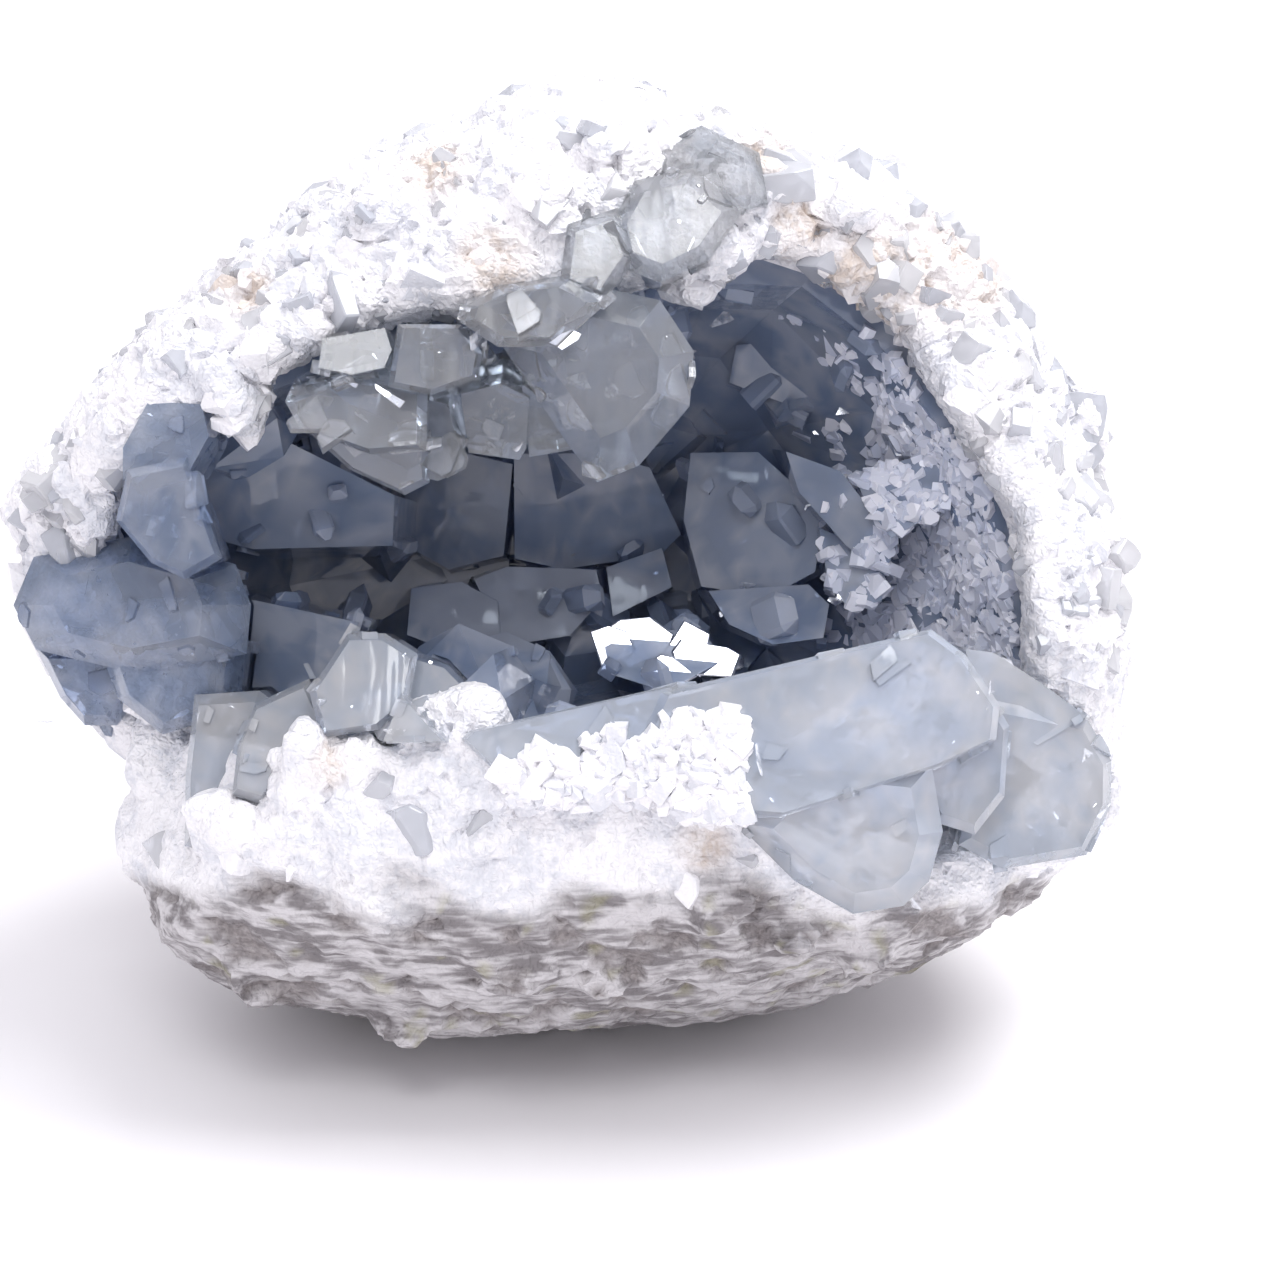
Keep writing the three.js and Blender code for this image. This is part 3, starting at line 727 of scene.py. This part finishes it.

# %% [markdown]
# ## The finish of the rock
# The band is white crystal, greyer grain by grain where it is clearer, with tan stains. The skin
# is grey-beige, streaked along its layers, with dark pits and a few greenish specks. The
# fragments of the rim share the colour of the band. The ground in the hollow is a dark,
# speckled blue-grey, painted shade of the deep hollow.

# %% Colours of the rock, and the colour of broken crystal
GREY_GRAIN, WHITE_GRAIN = (0.68, 0.69, 0.735, 1), (0.85, 0.84, 0.86, 1)
TAN_STAIN = (0.6, 0.51, 0.44, 1)
SKIN_DARK, SKIN_PALE = (0.19, 0.175, 0.182, 1), (0.58, 0.56, 0.575, 1)
PIT_DARK, PIT_PALE = (0.15, 0.13, 0.13, 1), (0.3, 0.27, 0.265, 1)
MOSS_GREEN = (0.32, 0.31, 0.16, 1)
# Painted shade: the ground deep in the hollow is coloured a dark blue-grey
HOLLOW_SHADE_DARK, HOLLOW_SHADE_PALE = (0.34, 0.35, 0.43, 1), (0.55, 0.56, 0.66, 1)


def broken_white(wire):
    """The colour of the broken crystal: white, clearer grey grain by grain, tan where stained"""
    speckle = group_node(wire, clouds, size=0.0011, low=0.35, high=0.7).outputs["Mask"]
    by_crystal = wire.math("MULTIPLY", mask_of(wire, "tone"), 0.75)
    grain = wire.math("ADD", by_crystal, wire.math("MULTIPLY", speckle, 0.3))
    white = wire.mix(wire.ramp(grain, 0.12, 0.65), GREY_GRAIN, WHITE_GRAIN)
    spread = wire.math("MULTIPLY", mask_of(wire, "stain"), wire.ramp(grain, 0.1, 0.7, 0.9, 0.25))
    return wire.mix(spread, white, TAN_STAIN), speckle


# %% Rock
pale_rock, wire, shader = new_material("pale_rock")
white, speckle = broken_white(wire)
fibres = group_node(wire, clouds, size=0.0015, low=0.3, high=0.7, stretch=(0.22, 0.9, 1.3)).outputs["Mask"]
layered = wire.math("MULTIPLY", mask_of(wire, "layers"), 0.5)
shade = wire.math("ADD", wire.math("MULTIPLY", fibres, 0.5), layered)
outside = wire.mix(wire.ramp(shade, 0.2, 0.8), SKIN_DARK, SKIN_PALE)
in_pits = wire.math("MULTIPLY", mask_of(wire, "hollows"), 0.8)
outside = wire.mix(in_pits, outside, wire.mix(speckle, PIT_DARK, PIT_PALE))
outside = wire.mix(wire.math("MULTIPLY", mask_of(wire, "moss"), 0.4), outside, MOSS_GREEN)
colour = wire.mix(mask_of(wire, "skin"), white, outside)
# Painted shade: in the hollow the rock is a dark, speckled blue-grey
colour = wire.mix(mask_of(wire, "hollow"), colour, wire.mix(speckle, HOLLOW_SHADE_DARK, HOLLOW_SHADE_PALE))
wire.feed(shader.inputs["Base Color"], colour)
shader.inputs["Roughness"].default_value = 0.55
sugary(wire, shader, 0.0009, 0.8)
rock.data.materials.append(pale_rock)

# %% Broken white crystal of the rim
rim_white, wire, shader = new_material("broken_white_crystal")
wire.feed(shader.inputs["Base Color"], broken_white(wire)[0])
shader.inputs["Roughness"].default_value = 0.28
sugary(wire, shader, 0.0008, 0.4)

# %% [markdown]
# ## The finish of the crystals
# Celestite is clear and pale blue. A crystal is a closed solid of glass with its own absorption,
# so that it darkens and turns bluer with depth, and its faces carry faint growth lines.
# What differs from crystal to crystal is how blue, how milky and how dusty it is. The smallest
# ones, at the right, are so pale and crowded that an opaque finish does, and renders faster.

# %% How a crystal is finished
CELESTITE_IOR = 1.62
GROWTH_LINES = 420.0
LINE_STRETCH = (1.4, 0.5, 0.22)


def crystal_material(name, clear, milky, absorb, density, clearness, roughness, growth=0.00004):
    """Clear crystal; roughness is that of its smoothest and its dustiest places, growth in metres"""
    material, wire, shader = new_material(name)
    lines = wire.add("ShaderNodeTexNoise", {"Scale": GROWTH_LINES, "Detail": 1.0})
    place = wire.add("ShaderNodeTexCoord").outputs["Object"]
    wire.feed(lines.inputs["Vector"], wire.stretched(place, LINE_STRETCH))
    wire.feed(shader.inputs["Base Color"], wire.mix(mask_of(wire, "tone"), clear, milky))
    shader.inputs["Transmission Weight"].default_value = clearness
    shader.inputs["IOR"].default_value = CELESTITE_IOR
    wire.feed(shader.inputs["Roughness"], wire.ramp(lines.outputs["Fac"], 0.35, 0.8, *roughness))
    bumpy(wire, shader, wire.math("MULTIPLY", lines.outputs["Fac"], growth), 0.8)
    absorption = wire.add("ShaderNodeVolumeAbsorption")
    absorption.inputs["Color"].default_value = absorb
    absorption.inputs["Density"].default_value = density
    wire.feed(material.node_tree.nodes["Material Output"].inputs["Volume"], absorption.outputs[0])
    return material


# %% Five kinds of clear crystal, and the pale druse
deep_blue = crystal_material(
    "deep_celestite", clear=(0.42, 0.53, 0.75, 1), milky=(0.78, 0.85, 1, 1),
    absorb=(0.3, 0.46, 0.75, 1), density=24, clearness=0.62, roughness=(0.02, 0.1))
mid_blue = crystal_material(
    "mid_celestite", clear=(0.36, 0.46, 0.66, 1), milky=(0.68, 0.75, 0.9, 1),
    absorb=(0.3, 0.46, 0.74, 1), density=34, clearness=0.72, roughness=(0.03, 0.15))
light_blue = crystal_material(
    "light_celestite", clear=(0.74, 0.81, 0.92, 1), milky=(0.95, 0.965, 1, 1),
    absorb=(0.35, 0.55, 0.86, 1), density=7, clearness=0.7, roughness=(0.02, 0.1), growth=0.00003)
clear_grey = crystal_material(
    "clear_celestite", clear=(0.85, 0.89, 0.95, 1), milky=(0.95, 0.96, 0.99, 1),
    absorb=(0.45, 0.58, 0.72, 1), density=26, clearness=0.88, roughness=(0.02, 0.2))
misty = crystal_material(
    "misty_celestite", clear=(0.8, 0.83, 0.91, 1), milky=(0.96, 0.96, 0.985, 1),
    absorb=(0.5, 0.64, 0.84, 1), density=9, clearness=0.55, roughness=(0.08, 0.3))
DRUSE_BLUE, DRUSE_PALE = (0.6, 0.64, 0.76, 1), (0.88, 0.88, 0.94, 1)
druse_pale, wire, shader = new_material("pale_druse")
wire.feed(shader.inputs["Base Color"], wire.mix(mask_of(wire, "tone"), DRUSE_BLUE, DRUSE_PALE))
shader.inputs["Roughness"].default_value = 0.22
print("materials:", [material.name for material in bpy.data.materials if material.users])

# %% [markdown]
# ## The large crystals
# The CAD solids have every large crystal at its place. Their edges are taken off a little, since
# a dead sharp edge catches no light. Celestite also grows in steps: thin plates lie on its faces,
# and their low edges glint. Flat flakes at chance places stand for them here.
# Milkiness changes over a single face, and a mesh carries a mask only at its corners, so the
# faces are cut to a few millimetres first. Two places have their own: the ledge at the foot of
# the hollow is milky, and the left end of the long tablet is clearer and bluer than the rest.

# %% Faces of a mesh, and places on them


def face_table(mesh):
    """Corners, outward directions and areas of a mesh's triangles"""
    mesh.calc_loop_triangles()
    corners = corners_of(mesh)
    triangles = np.array([t.vertices[:] for t in mesh.loop_triangles])
    a, b, c = (corners[triangles[:, i]] for i in range(3))
    across = np.cross(b - a, c - a)
    double = np.linalg.norm(across, axis=1)
    return a, b, c, across / np.maximum(double, 1e-12)[:, None], double / 2


def spots_on(mesh, weight, count, draw):
    """Places on a mesh, and its outward directions there, more where a face's weight is more"""
    a, b, c, facing, area = face_table(mesh)
    picks = draw.choice(len(area), count, p=area * weight / (area * weight).sum())
    share = draw.dirichlet((1, 1, 1), size=count)
    return share[:, :1] * a[picks] + share[:, 1:2] * b[picks] + share[:, 2:] * c[picks], facing[picks]


# %% Edges taken off, growth steps and fine cuts
WELD = 2e-5
FLAT_WITHIN = math.radians(4)
SHARP_FROM = math.radians(18)
EDGE_WIDTH = 0.0004
STEP_FORMS = 8
STEP_WIDTH, STEP_THICKNESS = (0.002, 0.008), (0.0006, 0.0016)
STEP_SUNK = 0.0002
FINE_CUT = 0.0025


def eased(crystal):
    """Joins the triangles of each flat face of a copied solid and takes its sharp edges off"""
    with edited(crystal.data) as bm:
        bmesh.ops.remove_doubles(bm, verts=bm.verts, dist=WELD)
        bmesh.ops.dissolve_limit(bm, angle_limit=FLAT_WITHIN, verts=bm.verts, edges=bm.edges)
    edges = crystal.modifiers.new("edges", "BEVEL")
    edges.width = EDGE_WIDTH
    edges.segments = 1
    edges.limit_method = "ANGLE"
    edges.angle_limit = SHARP_FROM
    settled(crystal)


def growth_steps(mesh, count, draw):
    """Thin plates on the faces of a crystal, sunk so that each stands up by a fraction of a mm"""
    forms = [flat_shard(draw, 1.0) for _ in range(STEP_FORMS)]
    places, facing = spots_on(mesh, 1.0, count, draw)
    turns = turned_up(facing, 0.02, draw)
    sizes = draw.uniform(*STEP_WIDTH, size=(count, 1)) * draw.uniform(0.5, 1.2, size=(count, 3))
    sizes[:, 2] = draw.uniform(*STEP_THICKNESS, size=count)
    return scatter("steps", forms, places - facing * STEP_SUNK, turns, sizes, draw)


def joined_meshes(name, meshes):
    """One mesh that holds several"""
    bm = bmesh.new()
    for mesh in meshes:
        bm.from_mesh(mesh)
    whole = bpy.data.meshes.new(name)
    bm.to_mesh(whole)
    bm.free()
    return whole


def finely_cut(mesh, longest):
    """Cuts long edges until none is much longer than a length, so that masks can vary over a face"""
    with edited(mesh) as bm:
        bmesh.ops.triangulate(bm, faces=bm.faces)
        for _ in range(4):
            long = [edge for edge in bm.edges if edge.calc_length() > longest]
            bmesh.ops.subdivide_edges(bm, edges=long, cuts=1)
            bmesh.ops.triangulate(bm, faces=bm.faces)


# %% The five groups of large crystals
# The ledge, and where the tablet turns milky, are places in the camera's picture, in pixels
MILKY_PATCH, MILKY_STREAK = 0.007, 0.0025
LEDGE_MIDDLE, LEDGE_REACH = (545, 605), (160, 55)
TABLET_CLEAR_TO, TABLET_MILKY_FROM = 590, 760


def milkiness(node, corners):
    """How milky the crystals of a CAD node are at each corner"""
    streaks = rough(corners, MILKY_STREAK, (1.5, 1.5, 0.4))
    milky = smooth_step(0.55 * rough(corners, MILKY_PATCH) + 0.35 * streaks, -0.3, 0.4)
    across, down = pixels_of(corners)
    if node == "crystal_crust":
        aside = (across - LEDGE_MIDDLE[0]) / LEDGE_REACH[0]
        under = (down - LEDGE_MIDDLE[1]) / LEDGE_REACH[1]
        milky = np.maximum(milky, smooth_step(1 - aside ** 2 - under ** 2, 0, 0.5))
    if node == "lip_crystals":
        milky *= 0.35 + 0.65 * smooth_step(across, TABLET_CLEAR_TO, TABLET_MILKY_FROM)
    return milky


draw = np.random.default_rng(29)
for name, node, finish, steps in [
        ("hollow_crust", "crystal_crust", deep_blue, 120),
        ("hanging_blades", "hanging_crystals", clear_grey, 70),
        ("left_mass", "left_crystals", mid_blue, 36),
        ("corner_tablets", "corner_crystals", light_blue, 30),
        ("lip_tablets", "lip_crystals", light_blue, 50)]:
    crystal = copied_solid(name, node)
    eased(crystal)
    crystal.data = joined_meshes(name, [crystal.data, growth_steps(crystal.data, steps, draw)])
    finely_cut(crystal.data, FINE_CUT)
    carry_mask(crystal.data, "tone", milkiness(node, corners_of(crystal.data)))
    crystal.data.materials.append(finish)
    print(name, triangles_in(crystal), "triangles")

# %% [markdown]
# ## Veils inside the crystals
# Clear celestite is full of healed cracks, thin bright sheets that follow a few directions. They
# are flakes with a patchy alpha, set a few millimetres under the faces of the large crystals.

# %% Veils
VEIL_FORMS = 10
VEIL_DEPTH = (0.0012, 0.007)
veil_finish, wire, shader = new_material("healed_cracks")
shader.inputs["Base Color"].default_value = (0.93, 0.95, 1, 1)
shader.inputs["Roughness"].default_value = 0.3
patches = group_node(wire, clouds, size=0.0022, low=0.42, high=0.68).outputs["Mask"]
wire.feed(shader.inputs["Alpha"], wire.math("MULTIPLY", patches, 0.55))


def veils_in(name, node, count, size, seed):
    """Cracks under the faces of a CAD node, along three directions at right angles"""
    draw = np.random.default_rng(seed)
    forms = [flat_shard(draw, 0.012) for _ in range(VEIL_FORMS)]
    places, facing = spots_on(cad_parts[node].data, 1.0, count, draw)
    depth = draw.uniform(*VEIL_DEPTH, size=(count, 1))
    cleavage = np.linalg.qr(draw.normal(size=(3, 3)))[0]
    ways = cleavage[draw.integers(0, 3, count)] + draw.normal(size=(count, 3)) * 0.12
    turns = turned_up(ways / np.linalg.norm(ways, axis=1)[:, None], 0.05, draw)
    sizes = draw.uniform(*size, size=(count, 1)) * np.array((1, 0.7, 1))
    veils = scatter(name, forms, places - facing * depth, turns, sizes, draw)
    piece = new_piece(name, veils, veil_finish)
    print(name, count, "flakes")


veils_in("crust_veils", "crystal_crust", 40, (0.003, 0.010), 30)
veils_in("lip_veils", "lip_crystals", 50, (0.003, 0.010), 31)
veils_in("hanging_veils", "hanging_crystals", 45, (0.002, 0.007), 32)
veils_in("left_veils", "left_crystals", 30, (0.002, 0.008), 33)
veils_in("corner_veils", "corner_crystals", 20, (0.002, 0.006), 34)

# %% [markdown]
# ## Bright cleavage faces
# A flat crack that lies just so throws back all the light, and shows as a hard white glint. Each
# one is a shard set where the camera sees it, on the first crystal that a ray from the camera
# meets, and turned halfway between the camera and the front panel that it mirrors. So it shines
# for this one view, and from other sides it mirrors something else. A mirror finish stands for
# the total reflection. The first ones are the glints of the real stone. The sparkles after them
# are smaller, lie by chance and stand for no single glint.

# %% Glints of the stone: a point of the picture, a length in mm, a slimness and a roll in degrees
GLINTS = [(638, 640, 15, 0.55, 20), (705, 662, 13, 0.5, -15), (748, 655, 6, 0.6, 40),
          (614, 645, 9, 0.7, 0), (660, 626, 10, 0.6, 50), (690, 648, 9, 0.8, 100),
          (730, 660, 8, 0.7, -40), (668, 672, 9, 0.5, -10), (392, 398, 9, 0.16, -38),
          (352, 384, 4, 0.2, -30), (566, 338, 6, 0.4, 25), (846, 410, 3.6, 0.5, 20),
          (818, 432, 2.4, 0.5, 0), (836, 598, 2.6, 0.9, 0), (806, 505, 2, 0.6, 60),
          (455, 715, 5, 0.5, -50), (690, 245, 2.5, 0.4, 60)]
mirror_finish, wire, shader = new_material("mirror_cleavage")
shader.inputs["Metallic"].default_value = 1.0
shader.inputs["Base Color"].default_value = (0.82, 0.84, 0.9, 1)
ripple = group_node(wire, clouds, size=0.003, low=0.3, high=0.8).outputs["Mask"]
wire.feed(shader.inputs["Roughness"], wire.ramp(ripple, 0, 1, 0.12, 0.4))
print(len(GLINTS), "glints of the stone")

# %% Shards that mirror the front panel
SPARKLES = 90
SPARKLE_RANGES = ((130, 1100), (160, 880), (0.5, 1.3), (0.3, 0.8), (0, 180))
GLINT_FORMS = 6
GLINT_SUNK = 0.0002
BIG_CRYSTALS = ["hanging_crystals", "left_crystals", "corner_crystals", "lip_crystals"]
trees = [tree_of(node) for node in ["crystal_crust"] + BIG_CRYSTALS]


def seen_crystal(x_pixel, y_pixel):
    """The first point on a crystal under a point of the camera's picture, and the way to it"""
    way = (from_mouth(*seen_at(x_pixel, y_pixel, 0)) - camera.location).normalized()
    hits = [hit for hit in (tree.ray_cast(camera.location, way) for tree in trees) if hit[0]]
    return (min(hits, key=lambda hit: hit[3])[0] if hits else None), way


draw = np.random.default_rng(37)
sparkles = np.stack([draw.uniform(*limits, SPARKLES) for limits in SPARKLE_RANGES], axis=1).tolist()
places, turns, sizes = [], [], []
for x_pixel, y_pixel, length, slimness, roll in GLINTS + sparkles:
    spot, way = seen_crystal(x_pixel, y_pixel)
    if spot is None:
        continue
    spot = spot + way * GLINT_SUNK
    up = ((camera.location - spot).normalized() + (front_panel.location - spot).normalized()).normalized()
    side = Matrix.Rotation(math.radians(roll), 3, up) @ Vector((1, 0, 0)).cross(up).cross(up).normalized()
    side = (side - up * side.dot(up)).normalized()
    turns.append(np.array(Matrix((side, up.cross(side), up)).transposed()))
    places.append(spot)
    sizes.append((length * MM, length * slimness * MM, length * MM))
forms = [flat_shard(draw, 0.02) for _ in range(GLINT_FORMS)]
shards = scatter("bright_cleavages", forms, np.array(places), np.array(turns), np.array(sizes), draw)
glints = new_piece("bright_cleavages", shards, mirror_finish)
print(len(places), "shards")

# %% [markdown]
# ## The broken rim
# Round the mouth the wall is crystal broken to fragments of about 2 to 9 mm. They are set down
# by chance on the band of the rock, the large ones few and the small ones many, and their middles
# are sunk by a third to a half of their size, so that only their tops stand out. The clear ones
# lie more often next to the hollow. Below the mouth there are few, and close to the large
# crystals none.

# %% Where the fragments lie
rock_places = corners_of(rock.data)
rock_normals = normals_of(rock.data)
from_crystals = np.min([near(node, rock_places) for node in BIG_CRYSTALS], axis=0)
clear_of = smooth_step(from_crystals, 0.0005, 0.003)
on_front = smooth_step(-at[:, 1], 12, 22)
rim_weight = band * clear_of * (1 - 0.85 * on_front)
by_hollow = smooth_step(-near("crystal_crust", rock_places), -0.02, -0.006)
print(int((rim_weight > 0.5).sum()), "corners of the wall can hold a fragment")

# %% Rim fragments
RIM_FORMS = 14
BOX_REACH = 0.001


def inside_box(places, reach):
    """Which places stay near the CAD box, less a reach for the size of what stands there"""
    low, high = np.array(cad_low) - BOX_REACH, np.array(cad_high) + BOX_REACH
    return np.all((places - reach > low) & (places + reach < high), axis=1)


def rim_layer(name, count, size, sunk, finish, seed, weight, bevel=0.0):
    """One mesh of fragments on the band, sunk by a share of their size"""
    draw = np.random.default_rng(seed)
    forms = [broken_block(draw, bevel) for _ in range(RIM_FORMS)]
    picks = draw.choice(len(weight), count, p=weight / weight.sum())
    sizes = draw.uniform(*size, size=(count, 1)) * draw.uniform(0.6, 1.25, size=(count, 3))
    places = rock_places[picks] - rock_normals[picks] * sizes.mean(axis=1)[:, None] * sunk
    keep = inside_box(places, 0.5 * sizes.max(axis=1)[:, None])
    places, sizes = places[keep], sizes[keep]
    masks = {"tone": draw.uniform(0, 1, keep.sum()), "stain": stain_share(places)}
    turns = chance_turns(len(places), draw)
    piece = new_piece(name, scatter(name, forms, places, turns, sizes, draw, masks), finish)
    print(name, triangles_in(piece), "triangles")


rim_layer("rim_chunks", 100, (0.0045, 0.0085), 0.45, rim_white, 5, rim_weight, bevel=0.03)
rim_layer("rim_fragments", 480, (0.0022, 0.0048), 0.46, rim_white, 6, rim_weight)
rim_layer("rim_clear", 300, (0.003, 0.0075), 0.36, misty, 8, rim_weight * (0.4 + by_hollow), bevel=0.03)

# %% [markdown]
# ## White crystal on the long tablet
# The foot of the long tablet is grown over with the same white crystal as the rim, and its upper
# edge is a wavy line. The fragments are set on the faces that the camera sees below that line.

# %% Crust on the foot of the tablet
FOOT_LEFT, FOOT_RIGHT, FOOT_BOTTOM = 440, 742, 900
FOOT_TRIES, FOOT_FRAGMENTS, FOOT_FORMS = 16000, 1300, 12
FOOT_SIZE, FOOT_SUNK = (0.0016, 0.004), 0.0005
draw = np.random.default_rng(41)
places, facing = spots_on(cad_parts["lip_crystals"].data, 1.0, FOOT_TRIES, draw)
across, down = pixels_of(places)
toward = np.array(camera.location) - places
seen = np.einsum("ij,ij->i", facing, toward) > 0.1 * np.linalg.norm(toward, axis=1)
wave = 9 * np.sin(across * 0.09) + 6 * np.sin(across * 0.23 + 1)
under_edge = down > 778 - 0.24 * (across - 460) + wave
on_foot = (across > FOOT_LEFT) & (across < FOOT_RIGHT) & (down < FOOT_BOTTOM) & under_edge
keep = np.flatnonzero(on_foot & seen)[:FOOT_FRAGMENTS]
places, facing = places[keep], facing[keep]
sizes = draw.uniform(*FOOT_SIZE, size=(len(keep), 1)) * draw.uniform(0.6, 1.25, size=(len(keep), 3))
masks = {"tone": draw.uniform(0, 0.9, len(keep)), "stain": 0.6 * stain_share(places)}
forms = [broken_block(draw) for _ in range(FOOT_FORMS)]
turns = chance_turns(len(keep), draw)
crust = scatter("foot_crust", forms, places - facing * FOOT_SUNK, turns, sizes, draw, masks)
foot = new_piece("foot_crust", crust, rim_white)
print("foot_crust", len(keep), "fragments")

# %% [markdown]
# ## The druse
# Between the large crystals of the hollow stand small ones, all growing out from the wall. They
# have celestite's own form, a flattened prism that ends in a chisel. On the gentle slope at the
# right they are pale, small, crowded and broken, and sunk a little into the wall.

# %% Druse
DRUSE_FORMS = 12
RIGHT_SUNK = 0.2


def druse_layer(name, count, size, finish, seed, at_right):
    """One mesh of small crystals that grow from the wall of the hollow"""
    draw = np.random.default_rng(seed)
    forms = [broken_block(draw) if at_right else celestite_form(draw) for _ in range(DRUSE_FORMS)]
    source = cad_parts["crystal_crust"].data
    a, b, c, facing, area = face_table(source)
    middles = (a + b + c) / 3
    toward = np.array(from_mouth(0, 3, 20)) - middles
    inward = np.einsum("ij,ij->i", facing, toward / np.linalg.norm(toward, axis=1)[:, None])
    right = smooth_step(mouth_coordinates(middles)[:, 0], 33, 42)
    places, facing = spots_on(source, (inward > 0.2) * (right if at_right else 1 - right), count, draw)
    sizes = draw.uniform(*size, size=(count, 1)) * draw.uniform(0.75, 1.2, size=(count, 3))
    turns = turned_up(facing, 0.35 if at_right else 0.7, draw)
    if at_right:
        places = places - facing * (RIGHT_SUNK * sizes.mean(axis=1))[:, None]
    masks = {"tone": draw.uniform(0, 1, count)}
    piece = new_piece(name, scatter(name, forms, places, turns, sizes, draw, masks), finish)
    print(name, triangles_in(piece), "triangles")


druse_layer("hollow_druse", 80, (0.003, 0.007), deep_blue, 21, False)
druse_layer("right_druse", 1500, (0.0013, 0.0034), druse_pale, 22, True)

# %% [markdown]
# ## Sizes
# How far the dressed nodule reaches past the box of the CAD model is printed, in mm, below
# and above on each axis. The dressed nodule has to keep to the box of the CAD model, with 3
# percent of each side to spare.

# %% Sizes written down
seen_low, seen_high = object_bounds()
grown_low, grown_high = (cad_low - seen_low) / MM, (seen_high - cad_high) / MM
print("grown by", [round(v, 2) for v in grown_low], [round(v, 2) for v in grown_high])
print("made in", round(time.time() - started), "s")
